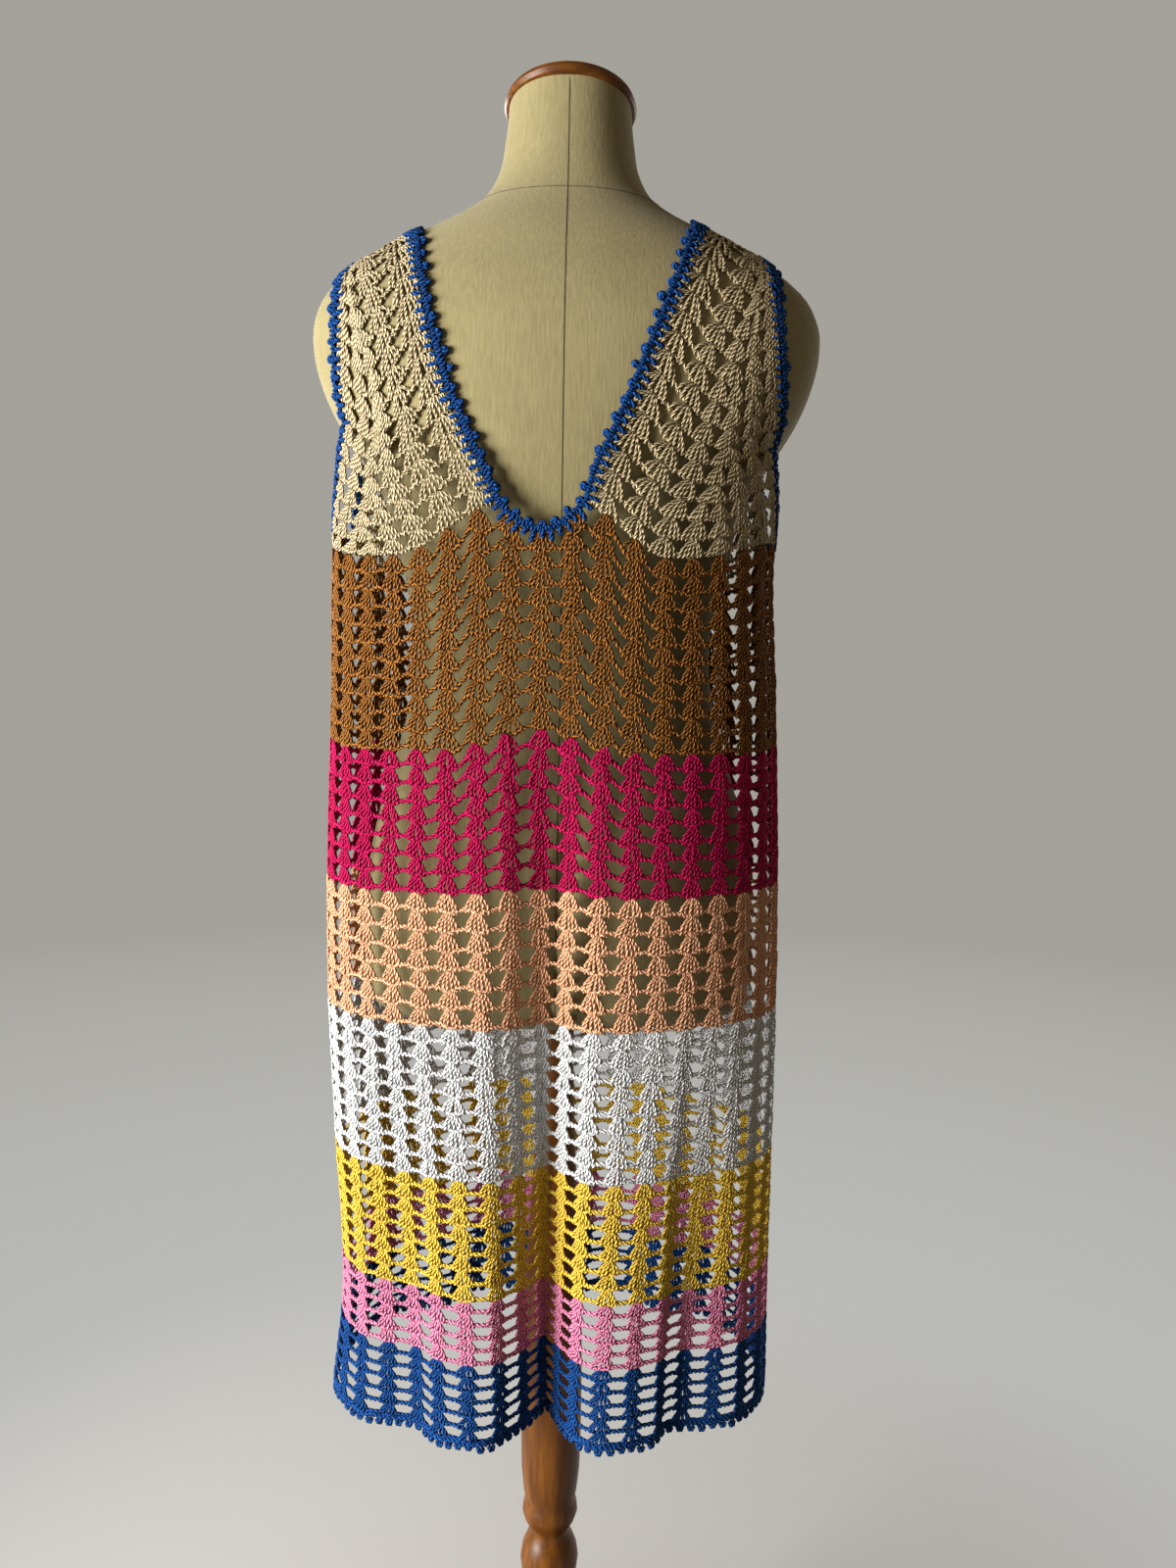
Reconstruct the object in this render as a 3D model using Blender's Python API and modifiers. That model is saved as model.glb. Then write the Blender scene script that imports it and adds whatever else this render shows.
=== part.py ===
"""Crochet mini dress on a dress form, modelled at its real size.

Metres, +Z up. The origin is the middle of the stand's underside, on the floor.
The wearer's front faces -Y and the wearer's left is +X. Angles are in degrees,
seen from above, from the centre back (+Y) towards the wearer's left (+X).
"""

import math
from collections import namedtuple

import bmesh
import bpy
import numpy as np
from mathutils import Vector
from mathutils.bvhtree import BVHTree

# Driving dimensions of the dress
SHELL_COLUMNS = 42
RING_POINTS = SHELL_COLUMNS * 2
WALL_INSIDE = 0.0010
WALL_VALLEY = 0.0008
WALL_CREST = 0.0021
SEAM_GAP = 0.0003
UNDERARM_HEIGHT = 1.112
HEM_HEIGHT = 0.404
BACK_V_CENTRE = 8.0
FRONT_V_CENTRE = 182.0
FRONT_V_LEAN = 0.017
FRONT_V_LEAN_END = 1.345
V_POINTS = 3
ARMHOLE_POINTS = 2
YOKE_ROWS = 9
RIDGE_RIB_SHARE = 0.2

# Driving dimensions of the blue edging
EDGING_GAP = 0.0005
EDGING_WIDTH = 0.0085
PICOT_HEIGHT = 0.0035
PICOT_SPACING = 0.020

# Driving dimensions of the dress form and its stand
CLOTH_CLEARANCE = 0.0009
CLOTH_LEAST_CLEARANCE = 0.0005
TORSO_POINTS = 40
NECK_TILT = math.radians(10)
NECK_CUT = Vector((0.0, -0.012, 1.4805))
PART_GAP = 0.0003
BASE_RADIUS = 0.200
BASE_THICKNESS = 0.030

# Each band of the skirt: its name, the height of its upper edge, and how many steps it is built in
Band = namedtuple("Band", "name top steps")
BANDS = [
    Band("band_brown", UNDERARM_HEIGHT, 3),
    Band("band_magenta", 0.962, 2),
    Band("band_peach", 0.851, 2),
    Band("band_white", 0.745, 2),
    Band("band_yellow", 0.622, 2),
    Band("band_pink", 0.523, 1),
    Band("band_blue", 0.469, 1),
]

# A level section: its height, its half width, its depth either way, and the place of its middle
Section = namedtuple("Section", "height half_width back front x y")
SQUARENESS = 2.2

# The hanging cloth. Above the armholes it shrinks into the torso, which carries the yoke there
DRESS_SECTIONS = [
    Section(0.390, 0.1905, 0.103, 0.152, 0.0025, 0.0),
    Section(0.490, 0.1850, 0.104, 0.151, -0.0020, 0.0),
    Section(0.620, 0.1880, 0.106, 0.150, 0.0010, 0.0),
    Section(0.750, 0.1910, 0.108, 0.149, 0.0040, 0.0),
    Section(0.850, 0.1905, 0.1085, 0.148, 0.0050, 0.0),
    Section(1.010, 0.1855, 0.104, 0.147, 0.0065, 0.0),
    Section(1.112, 0.1825, 0.101, 0.146, 0.0085, 0.0),
    Section(1.170, 0.1830, 0.101, 0.143, 0.0065, 0.0),
    Section(1.210, 0.1820, 0.098, 0.134, 0.0060, 0.0),
    Section(1.260, 0.1700, 0.085, 0.096, 0.0050, 0.0),
    Section(1.320, 0.1200, 0.050, 0.050, 0.0020, 0.0),
    Section(1.400, 0.0300, 0.020, 0.020, 0.0, 0.0),
]

# The torso of the dress form
TORSO_SECTIONS = [
    Section(0.735, 0.148, 0.070, 0.094, 0.0, 0.0),
    Section(0.742, 0.158, 0.078, 0.102, 0.0, 0.0),
    Section(0.765, 0.163, 0.081, 0.108, 0.0, 0.0),
    Section(0.820, 0.165, 0.084, 0.112, 0.0, 0.0),
    Section(0.870, 0.161, 0.085, 0.110, 0.0, 0.0),
    Section(0.920, 0.150, 0.080, 0.104, 0.0, 0.0),
    Section(0.970, 0.135, 0.072, 0.096, 0.0, 0.0),
    Section(1.010, 0.126, 0.068, 0.090, 0.0, 0.0),
    Section(1.050, 0.124, 0.071, 0.089, 0.0, 0.0),
    Section(1.100, 0.133, 0.080, 0.103, 0.0, 0.0),
    Section(1.140, 0.143, 0.088, 0.128, 0.0, 0.0),
    Section(1.170, 0.153, 0.094, 0.138, 0.0, 0.0),
    Section(1.200, 0.172, 0.0975, 0.132, 0.0, 0.0),
    Section(1.233, 0.192, 0.098, 0.117, 0.0, 0.0),
    Section(1.260, 0.203, 0.097, 0.103, 0.0, 0.0),
    Section(1.285, 0.208, 0.095, 0.090, 0.0, 0.0),
    Section(1.310, 0.206, 0.091, 0.079, 0.0, 0.0),
    Section(1.330, 0.194, 0.086, 0.070, 0.0, 0.0),
    Section(1.345, 0.176, 0.081, 0.064, 0.0, -0.001),
    Section(1.360, 0.151, 0.076, 0.060, 0.0, -0.002),
    Section(1.375, 0.122, 0.070, 0.058, 0.0, -0.004),
    Section(1.388, 0.096, 0.064, 0.056, 0.0, -0.006),
    Section(1.402, 0.075, 0.059, 0.054, 0.0, -0.008),
    Section(1.425, 0.0595, 0.054, 0.053, 0.0, -0.010),
    Section(1.455, 0.0530, 0.050, 0.051, 0.0, -0.011),
    Section(1.510, 0.0490, 0.048, 0.049, 0.0, -0.012),
]
SHOULDER_HEIGHT = 1.28

# Folds press the cloth inwards below their start, most of all at the hem. A depth below 0 is a swell
Fold = namedtuple("Fold", "angle half_angle depth start power")
FOLDS = [
    Fold(4, 24, 0.054, 1.02, 0.9),
    Fold(33, 15, -0.005, 0.80, 1.0),
    Fold(-27, 15, -0.005, 0.80, 1.0),
    Fold(56, 13, 0.014, 0.72, 1.0),
    Fold(-54, 14, 0.018, 0.78, 1.0),
    Fold(178, 20, 0.040, 1.00, 1.0),
    Fold(135, 15, 0.018, 0.80, 1.0),
    Fold(-138, 16, 0.020, 0.84, 1.0),
]

# How far the upper edge of the brown band climbs above UNDERARM_HEIGHT, beside the middle of each V
EdgeRise = namedtuple("EdgeRise", "angle rise")
TOP_EDGE = [
    EdgeRise(0, 0.013),
    EdgeRise(8, 0.017),
    EdgeRise(20, 0.034),
    EdgeRise(32, 0.022),
    EdgeRise(45, 0.002),
    EdgeRise(60, 0.001),
    EdgeRise(74, 0.010),
    EdgeRise(84, 0.018),
    EdgeRise(100, 0.020),
]
MIDDLE_RISE = 0.018
MIDDLE_RISE_HALF_ANGLE = 40
SIDE_RISE = 0.006
SIDE_RISE_HALF_ANGLE = 25

# Edges of the yoke, which carry the edging: distance from the middle plane at each height
YokeEdge = namedtuple("YokeEdge", "height left_neck left_arm right_neck right_arm")
YOKE_EDGES = [
    YokeEdge(1.165, 0.058, 0.181, 0.025, 0.170),
    YokeEdge(1.180, 0.065, 0.180, 0.031, 0.170),
    YokeEdge(1.200, 0.075, 0.177, 0.041, 0.169),
    YokeEdge(1.230, 0.088, 0.176, 0.054, 0.167),
    YokeEdge(1.260, 0.098, 0.175, 0.066, 0.164),
    YokeEdge(1.295, 0.107, 0.173, 0.079, 0.160),
    YokeEdge(1.330, 0.114, 0.168, 0.092, 0.152),
    YokeEdge(1.360, 0.119, 0.158, 0.101, 0.144),
    YokeEdge(1.390, 0.123, 0.146, 0.108, 0.132),
]
NECK_CURVE_START = 1.175
ARMHOLE_CURVE_START = 1.165

# The turned pieces: each profile runs from its top down to its underside
Turning = namedtuple("Turning", "height radius")
POLE_PROFILE = [
    Turning(0.7347, 0.0150),
    Turning(0.6900, 0.0150),
    Turning(0.6400, 0.0165),
    Turning(0.5800, 0.0195),
    Turning(0.5200, 0.0232),
    Turning(0.4600, 0.0258),
    Turning(0.4000, 0.0268),
    Turning(0.3420, 0.0268),
    Turning(0.3100, 0.0260),
    Turning(0.2890, 0.0237),
    Turning(0.2820, 0.0221),
    Turning(0.2770, 0.0240),
    Turning(0.2700, 0.0248),
    Turning(0.2620, 0.0222),
    Turning(0.2540, 0.0172),
    Turning(0.2500, 0.0172),
    Turning(0.2440, 0.0210),
    Turning(0.2350, 0.0246),
    Turning(0.2250, 0.0261),
    Turning(0.2120, 0.0246),
    Turning(0.1920, 0.0205),
    Turning(0.1600, 0.0170),
    Turning(0.1200, 0.0165),
    Turning(0.0850, 0.0190),
    Turning(0.0600, 0.0250),
    Turning(0.0440, 0.0360),
    Turning(0.0380, 0.0450),
    Turning(BASE_THICKNESS + PART_GAP, 0.0450),
]
CAP_PROFILE = [
    Turning(0.0215, 0.0),
    Turning(0.0205, 0.0200),
    Turning(0.0165, 0.0370),
    Turning(0.0120, 0.0470),
    Turning(0.0100, 0.0500),
    Turning(0.0085, 0.0530),
    Turning(0.0045, 0.0545),
    Turning(0.0010, 0.0530),
    Turning(0.0, 0.0510),
]
BASE_PROFILE = [
    Turning(BASE_THICKNESS, 0.0),
    Turning(BASE_THICKNESS, 0.150),
    Turning(0.0270, 0.172),
    Turning(0.0220, 0.187),
    Turning(0.0150, 0.196),
    Turning(0.0060, BASE_RADIUS),
    Turning(0.0, BASE_RADIUS - 0.002),
]

# Colour, roughness and metallic value of each finish
Finish = namedtuple("Finish", "colour roughness metallic")
FINISHES = {
    "cream_yarn": Finish((0.66, 0.60, 0.46), 0.85, 0.0),
    "brown_yarn": Finish((0.40, 0.20, 0.05), 0.8, 0.0),
    "magenta_yarn": Finish((0.55, 0.01, 0.13), 0.8, 0.0),
    "peach_yarn": Finish((0.85, 0.47, 0.30), 0.85, 0.0),
    "white_yarn": Finish((0.85, 0.87, 0.88), 0.85, 0.0),
    "yellow_yarn": Finish((0.80, 0.56, 0.11), 0.85, 0.0),
    "pink_yarn": Finish((0.77, 0.28, 0.42), 0.85, 0.0),
    "blue_yarn": Finish((0.02, 0.11, 0.34), 0.8, 0.0),
    "form_fabric": Finish((0.74, 0.70, 0.54), 0.9, 0.0),
    "turned_wood": Finish((0.33, 0.15, 0.05), 0.3, 0.0),
}


# Small tools

def clear_scene():
    for found in list(bpy.data.objects):
        bpy.data.objects.remove(found, do_unlink=True)


def finish_material(name):
    material = bpy.data.materials.get(name)
    if material is None:
        finish = FINISHES[name]
        material = bpy.data.materials.new(name)
        material.use_nodes = True
        shader = material.node_tree.nodes["Principled BSDF"]
        shader.inputs["Base Color"].default_value = (*finish.colour, 1.0)
        shader.inputs["Roughness"].default_value = finish.roughness
        shader.inputs["Metallic"].default_value = finish.metallic
    return material


def new_part(name, mesh, material_name, collection):
    part = bpy.data.objects.new(name, mesh)
    collection.objects.link(part)
    mesh.materials.append(finish_material(material_name))
    return part


def table_value(rows, column, at, key="height"):
    """A smooth curve through one column of a table, read at one place."""
    places = np.array([getattr(row, key) for row in rows])
    values = np.array([getattr(row, column) for row in rows])
    slopes = np.gradient(values, places)
    at = min(max(at, places[0]), places[-1])
    i = min(int(np.searchsorted(places, at, side="right")) - 1, len(places) - 2)
    span = places[i + 1] - places[i]
    t = (at - places[i]) / span
    ease = t * t * (3 - 2 * t)
    lean = t * (1 - t) * span * ((1 - t) * slopes[i] - t * slopes[i + 1])
    return float(values[i] * (1 - ease) + values[i + 1] * ease + lean)


def angle_between(a, b):
    """The difference of two angles, from -180 to 180."""
    return (a - b + 180) % 360 - 180


def bump(offset, half_width):
    """A smooth hump, 1 in its middle and 0 from half_width outwards."""
    share = abs(offset) / half_width
    return math.cos(math.pi / 2 * share) ** 2 if share < 1 else 0.0


def halved(low, high, holds):
    """The place between low and high up to which a test still holds."""
    for _ in range(24):
        middle = (low + high) / 2
        low, high = (middle, high) if holds(middle) else (low, middle)
    return low


def reach(sections, angle, height):
    """Distance from the Z axis to the edge of a section, in the direction of an angle."""
    across, along = math.sin(math.radians(angle)), math.cos(math.radians(angle))
    half_width, back, front, middle_x, middle_y = (
        table_value(sections, column, height) for column in ("half_width", "back", "front", "x", "y")
    )

    def inside(distance):
        x, y = distance * across - middle_x, distance * along - middle_y
        depth = back if y > 0 else front
        return (abs(x) / half_width) ** SQUARENESS + (abs(y) / depth) ** SQUARENESS < 1

    return halved(0.0, 0.3, inside)


def around(angle, height, distance):
    turn = math.radians(angle)
    return np.array([distance * math.sin(turn), distance * math.cos(turn), height])


# The hanging cloth of the skirt

def edge_rise(angle, height):
    """How far a row of stitches climbs above its own height, near each V and at the sides."""
    offset = min(abs(angle_between(angle, centre)) for centre in (BACK_V_CENTRE, FRONT_V_CENTRE))
    side = min(abs(angle_between(angle, 90)), abs(angle_between(angle, -90)))
    top = table_value(TOP_EDGE, "rise", offset, "angle")
    middle = MIDDLE_RISE * bump(offset, MIDDLE_RISE_HALF_ANGLE)
    middle += SIDE_RISE * bump(side, SIDE_RISE_HALF_ANGLE)
    heights = [BANDS[3].top, BANDS[2].top, BANDS[1].top, UNDERARM_HEIGHT]
    top_share = np.interp(height, heights, [0, 0, 0, 1])
    middle_share = np.interp(height, heights, [0, 0.3, 1, 0])
    return top * top_share + middle * middle_share


def fold_depth(angle, height):
    depth = 0.0
    for fold in FOLDS:
        if height < fold.start:
            grown = ((fold.start - height) / (fold.start - HEM_HEIGHT)) ** fold.power
            depth += fold.depth * grown * bump(angle_between(angle, fold.angle), fold.half_angle)
    return depth


def skirt_point(angle, height):
    """A point of the skirt's middle layer, with its folds and the climb of its rows."""
    height = height + edge_rise(angle, height)
    return around(angle, height, reach(DRESS_SECTIONS, angle, height) - fold_depth(angle, height))


def ring_angles():
    """Angles of points that lie evenly spaced round the hips, from the middle of the back V."""
    dense = np.linspace(0, 360, 361) + BACK_V_CENTRE
    points = np.array([around(angle, 0, reach(DRESS_SECTIONS, angle, BANDS[2].top)) for angle in dense])
    run = np.concatenate([[0.0], np.cumsum(np.linalg.norm(np.diff(points, axis=0), axis=1))])
    return np.interp(np.arange(RING_POINTS) / RING_POINTS * run[-1], run, dense)


def skirt_row(height):
    return np.array([skirt_point(angle, height) for angle in ring_angles()])


# Walls of cloth

def unit(vectors):
    return vectors / np.maximum(np.linalg.norm(vectors, axis=-1, keepdims=True), 1e-12)


def grid_normals(grid, wrap):
    """Outward unit normals of a grid of points."""
    if wrap:
        across = np.roll(grid, -1, axis=1) - np.roll(grid, 1, axis=1)
    else:
        across = np.gradient(grid, axis=1)
    normals = unit(np.cross(np.gradient(grid, axis=0), across))
    away = grid * np.array([1.0, 1.0, 0.0])
    return normals * np.where((normals * away).sum() < 0, -1.0, 1.0)


def rib_heights(indices):
    """Thickness outside the middle layer: high on each column of shells, low between two."""
    return np.where(np.asarray(indices) % 2 == 0, WALL_CREST, WALL_VALLEY)


def wall_mesh(name, outer, inner, wrap):
    """A closed wall between an outer and an inner grid of the same size."""
    rows, columns = outer.shape[:2]
    mesh = bmesh.new()
    front, back = ([[mesh.verts.new(point) for point in row] for row in grid] for grid in (outer, inner))
    spans = columns if wrap else columns - 1
    for j in range(spans):
        k = (j + 1) % columns
        for i in range(rows - 1):
            mesh.faces.new([front[i][j], front[i + 1][j], front[i + 1][k], front[i][k]])
            mesh.faces.new([back[i][k], back[i + 1][k], back[i + 1][j], back[i][j]])
        mesh.faces.new([front[0][k], back[0][k], back[0][j], front[0][j]])
        mesh.faces.new([front[-1][j], back[-1][j], back[-1][k], front[-1][k]])
    if not wrap:
        for i in range(rows - 1):
            mesh.faces.new([front[i][0], back[i][0], back[i + 1][0], front[i + 1][0]])
            mesh.faces.new([front[i + 1][-1], back[i + 1][-1], back[i][-1], front[i][-1]])
    bmesh.ops.recalc_face_normals(mesh, faces=mesh.faces)
    data = bpy.data.meshes.new(name)
    mesh.to_mesh(data)
    mesh.free()
    return data


def make_bands(collection):
    """The seven rings of the skirt. Returns the middle layer and normals of its upper edge."""
    bottoms = [band.top for band in BANDS[1:]] + [HEM_HEIGHT]
    ribs = rib_heights(range(RING_POINTS))[None, :, None]
    upper_edge = None
    for band, bottom in zip(BANDS, bottoms):
        top = band.top - (SEAM_GAP if upper_edge else 0.0)
        grid = np.array([skirt_row(height) for height in np.linspace(top, bottom, band.steps + 1)])
        normals = grid_normals(grid, wrap=True)
        mesh = wall_mesh(band.name, grid + normals * ribs, grid - normals * WALL_INSIDE, wrap=True)
        new_part(band.name, mesh, band.name.replace("band_", "") + "_yarn", collection)
        upper_edge = upper_edge or (grid[0], normals[0])
    return upper_edge


def make_hem_edging(collection):
    """The picot edging below the blue band, with a picot under each column of shells."""
    grid = np.array([skirt_row(HEM_HEIGHT - SEAM_GAP), skirt_row(HEM_HEIGHT - EDGING_WIDTH)])
    grid[1, ::2, 2] -= PICOT_HEIGHT
    normals = grid_normals(grid, wrap=True)
    outer, inner = grid + normals * WALL_VALLEY, grid - normals * WALL_INSIDE
    new_part("hem_edging", wall_mesh("hem_edging", outer, inner, wrap=True), "blue_yarn", collection)


# The dress form

def torso_heights():
    """Heights of the torso's rings, with one more between each two at the shoulders."""
    known = [section.height for section in TORSO_SECTIONS]
    between = [(low + high) / 2 for low, high in zip(known, known[1:])]
    return sorted(known + [height for height in between if height > SHOULDER_HEIGHT])


def make_torso(collection):
    """The fabric-covered torso with its neck, cut off at the slope of the neck cap."""
    mesh = bmesh.new()
    power = 2 / SQUARENESS
    rings = []
    for height in torso_heights():
        half_width, back, front, middle_y = (
            table_value(TORSO_SECTIONS, column, height) for column in ("half_width", "back", "front", "y")
        )
        ring = []
        for turn in np.linspace(0, 2 * math.pi, TORSO_POINTS, endpoint=False):
            across, along = math.sin(turn), math.cos(turn)
            x = half_width * math.copysign(abs(across) ** power, across)
            y = (back if along > 0 else front) * math.copysign(abs(along) ** power, along)
            ring.append(mesh.verts.new((x, y + middle_y, height)))
        rings.append(ring)
    for low, high in zip(rings, rings[1:]):
        for j in range(TORSO_POINTS):
            k = (j + 1) % TORSO_POINTS
            mesh.faces.new([low[j], high[j], high[k], low[k]])
    mesh.faces.new(rings[0])
    mesh.faces.new(rings[-1][::-1])
    cut = bmesh.ops.bisect_plane(
        mesh,
        geom=mesh.verts[:] + mesh.edges[:] + mesh.faces[:],
        plane_co=NECK_CUT,
        plane_no=(0, -math.sin(NECK_TILT), math.cos(NECK_TILT)),
        clear_outer=True,
    )
    rim = [item for item in cut["geom_cut"] if isinstance(item, bmesh.types.BMEdge)]
    bmesh.ops.holes_fill(mesh, edges=rim)
    bmesh.ops.recalc_face_normals(mesh, faces=mesh.faces)
    bmesh.ops.triangulate(mesh, faces=mesh.faces)
    tree = BVHTree.FromBMesh(mesh)
    data = bpy.data.meshes.new("form_torso")
    mesh.to_mesh(data)
    mesh.free()
    new_part("form_torso", data, "form_fabric", collection)
    return tree


def make_turned(name, profile, steps, collection):
    """A turned piece: its profile swept round its own Z axis."""
    points = [(step.radius, 0.0, step.height) for step in profile]
    if points[0][0] > 0:
        points.insert(0, (0.0, 0.0, points[0][2]))
    points.append((0.0, 0.0, points[-1][2]))
    data = bpy.data.meshes.new(name)
    data.from_pydata(points, [(i, i + 1) for i in range(len(points) - 1)], [])
    part = new_part(name, data, "turned_wood", collection)
    screw = part.modifiers.new("Turn", "SCREW")
    screw.steps = screw.render_steps = steps
    screw.use_merge_vertices = True
    screw.merge_threshold = 0.00005
    return part


def make_stand(collection):
    make_turned("stand_base", BASE_PROFILE, 40, collection)
    make_turned("stand_pole", POLE_PROFILE, 18, collection)
    cap = make_turned("neck_cap", CAP_PROFILE, 28, collection)
    up = Vector((0, -math.sin(NECK_TILT), math.cos(NECK_TILT)))
    cap.location = NECK_CUT + up * PART_GAP
    cap.rotation_euler = (NECK_TILT, 0, 0)


# The yoke

def yoke_reach(angle, height):
    """Distance from the Z axis to the yoke's underside: the torso's skin or the hanging cloth."""
    on_torso = reach(TORSO_SECTIONS, angle, height)
    hanging = reach(DRESS_SECTIONS, angle, height) - CLOTH_CLEARANCE - WALL_INSIDE
    return max(on_torso, hanging)


def yoke_point(place):
    angle, height = place
    return around(angle, height, yoke_reach(angle, height))


def spaced_places(places, count, soften):
    """Places evenly spaced along a line of (angle, height) places, with its corners softened."""
    places = np.array(places, float)
    for _ in range(soften + 1):
        points = np.array([yoke_point(place) for place in places])
        run = np.concatenate([[0.0], np.cumsum(np.linalg.norm(np.diff(points, axis=0), axis=1))])
        wanted = np.linspace(0, run[-1], count)
        places = np.stack([np.interp(wanted, run, places[:, k]) for k in (0, 1)], axis=1)
        if soften:
            places[1:-1] = (places[:-2] + places[1:-1] * 2 + places[2:]) / 4
    return places


def yoke_edge(foot, back, wearer_left, edge, first_height, soften):
    """The line of one edge of a panel, from its foot on the brown band to the shoulder ridge."""
    column = f"{'left' if wearer_left else 'right'}_{edge}"
    side = 90 if wearer_left else -90

    def wanted(height):
        x = table_value(YOKE_EDGES, column, height)
        if edge == "neck" and not back:
            lean = FRONT_V_LEAN * np.interp(height, [NECK_CURVE_START, FRONT_V_LEAN_END], [1, 0])
            x -= lean if wearer_left else -lean
        return x

    def width(angle, height):
        return abs(yoke_reach(angle, height) * math.sin(math.radians(angle)))

    ridge = halved(1.30, 1.40, lambda height: width(side, height) > wanted(height))
    places = [foot]
    for height in np.arange(first_height, ridge - 0.002, 0.01):
        turned = halved(0, 90, lambda a: width((a if back else 180 - a) * side / 90, height) < wanted(height))
        places.append(((turned if back else 180 - turned) * side / 90, height))
    places.append((side, ridge))
    return spaced_places(places, YOKE_ROWS + 1, soften)


def yoke_places(back, wearer_left, feet):
    """(angle, height) of a panel's grid, from the ridge down and from neck edge to armhole edge."""
    neck = yoke_edge(feet[0], back, wearer_left, "neck", NECK_CURVE_START, 0)
    arm = yoke_edge(feet[-1], back, wearer_left, "arm", ARMHOLE_CURVE_START, 3)
    t = np.linspace(0, 1, YOKE_ROWS + 1)[:, None, None]
    s = np.linspace(0, 1, len(feet))[None, :, None]
    across = (1 - s) * neck[:, None] + s * arm[:, None]
    foot_bend = np.array(feet)[None] - ((1 - s) * neck[0] + s * arm[0])
    return (across + (1 - t) * foot_bend)[::-1]


def eased_off(inner, normals, tree):
    """The inner grid moved outwards until its faces lie clear of the torso, too."""
    inner = inner.copy()
    for _ in range(12):
        short = np.zeros(inner.shape[:2])
        for i in range(inner.shape[0] - 1):
            for j in range(inner.shape[1] - 1):
                cell = inner[i:i + 2, j:j + 2]
                samples = list(cell.reshape(4, 3)) + list(cell.mean(axis=0)) + list(cell.mean(axis=1))
                samples.append(cell.reshape(4, 3).mean(axis=0))
                for sample in samples:
                    near, normal, _, _ = tree.find_nearest(Vector(sample))
                    missing = CLOTH_LEAST_CLEARANCE - (Vector(sample) - near).dot(normal)
                    short[i:i + 2, j:j + 2] = np.maximum(short[i:i + 2, j:j + 2], missing)
        if short.max() <= 0:
            break
        inner += normals * short[..., None]
    return inner


def make_yoke(back, wearer_left, indices, upper_edge, tree, collection):
    """One of the four cream panels. Returns the middle layer of its grid and its normals."""
    edge_points, edge_normals = upper_edge
    feet = []
    for x, y, z in edge_points[indices]:
        feet.append((math.degrees(math.atan2(x, y)), z))
    places = yoke_places(back, wearer_left, feet)
    base = np.array([[yoke_point(place) for place in row] for row in places])
    normals = grid_normals(base, wrap=False)
    normals[0, :, 1] = 0.0
    normals[-1] = edge_normals[indices]
    normals = unit(normals)
    inner = eased_off(base + normals * CLOTH_CLEARANCE, normals, tree)
    inner[0, :, 1] = SEAM_GAP / 2 if back else -SEAM_GAP / 2
    inner[-1] = edge_points[indices] - normals[-1] * WALL_INSIDE + np.array([0, 0, SEAM_GAP])
    flattened = np.linspace(RIDGE_RIB_SHARE, 1, YOKE_ROWS + 1)[:, None, None]
    ribs = WALL_VALLEY + (rib_heights(indices)[None, :, None] - WALL_VALLEY) * flattened
    outer = inner + normals * (WALL_INSIDE + ribs)
    name = f"yoke_{'back' if back else 'front'}_{'left' if wearer_left else 'right'}"
    new_part(name, wall_mesh(name, outer, inner, wrap=False), "cream_yarn", collection)
    return inner + normals * WALL_INSIDE, normals


# The edging of the neck and the armholes

def split_loop(points, normals):
    """The closed line with each of its stretches split, and an even number of points in all."""
    steps = np.linalg.norm(np.roll(points, -1, axis=0) - points, axis=1)
    counts = np.maximum(np.round(steps / PICOT_SPACING * 2), 1).astype(int)
    if counts.sum() % 2:
        counts[np.argmax(steps)] += 1
    finer = []
    for i, count in enumerate(counts):
        k = (i + 1) % len(points)
        for t in np.arange(count) / count:
            finer.append((points[i] * (1 - t) + points[k] * t, normals[i] * (1 - t) + normals[k] * t))
    return np.array([point for point, _ in finer]), unit(np.array([normal for _, normal in finer]))


def clear_of_torso(points, tree):
    """Points moved outwards where they lie too near to the torso."""
    moved = []
    for point in points:
        near, normal, _, _ = tree.find_nearest(Vector(point))
        missing = CLOTH_LEAST_CLEARANCE - (Vector(point) - near).dot(normal)
        moved.append(np.array(point) + np.array(normal) * max(0.0, missing))
    return np.array(moved)


def make_edging(name, points, normals, opening_middle, tree, collection):
    """A strip along a closed edge, with a picot at every second point of its free side."""
    points, normals = split_loop(points, normals)
    along = unit(np.roll(points, -1, axis=0) - points) + unit(points - np.roll(points, 1, axis=0))
    across = unit(np.cross(along, normals))
    if ((opening_middle - points) * across).sum() < 0:
        across = -across
    tips = np.where(np.arange(len(points)) % 2 == 0, PICOT_HEIGHT, 0.0)[:, None]
    sewn = points + across * EDGING_GAP - normals * WALL_INSIDE
    free = points + across * (EDGING_WIDTH + tips) - normals * WALL_INSIDE
    inner = np.array([sewn, clear_of_torso(free, tree)])
    outer = inner + normals[None] * (WALL_INSIDE + WALL_VALLEY)
    new_part(name, wall_mesh(name, outer, inner, wrap=True), "blue_yarn", collection)


def ridge_crossing(back_edge, front_edge):
    """Two panel edges, the first climbing and the second falling, joined over the shoulder ridge."""
    return np.vstack([back_edge[:0:-1], (back_edge[:1] + front_edge[:1]) / 2, front_edge[1:]])


def make_yokes(upper_edge, tree, collection):
    """The four panels, under a name for each: whether it is at the back, and at the wearer's left."""
    quarter = RING_POINTS // 4
    steps = np.arange(V_POINTS, quarter - ARMHOLE_POINTS + 1)
    panels = {}
    for back, centre in ((True, 0), (False, 2 * quarter)):
        for wearer_left in (True, False):
            turn = 1 if back == wearer_left else -1
            indices = (centre + turn * steps) % RING_POINTS
            panels[back, wearer_left] = make_yoke(
                back, wearer_left, indices, upper_edge, tree, collection
            )
    return panels


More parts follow.
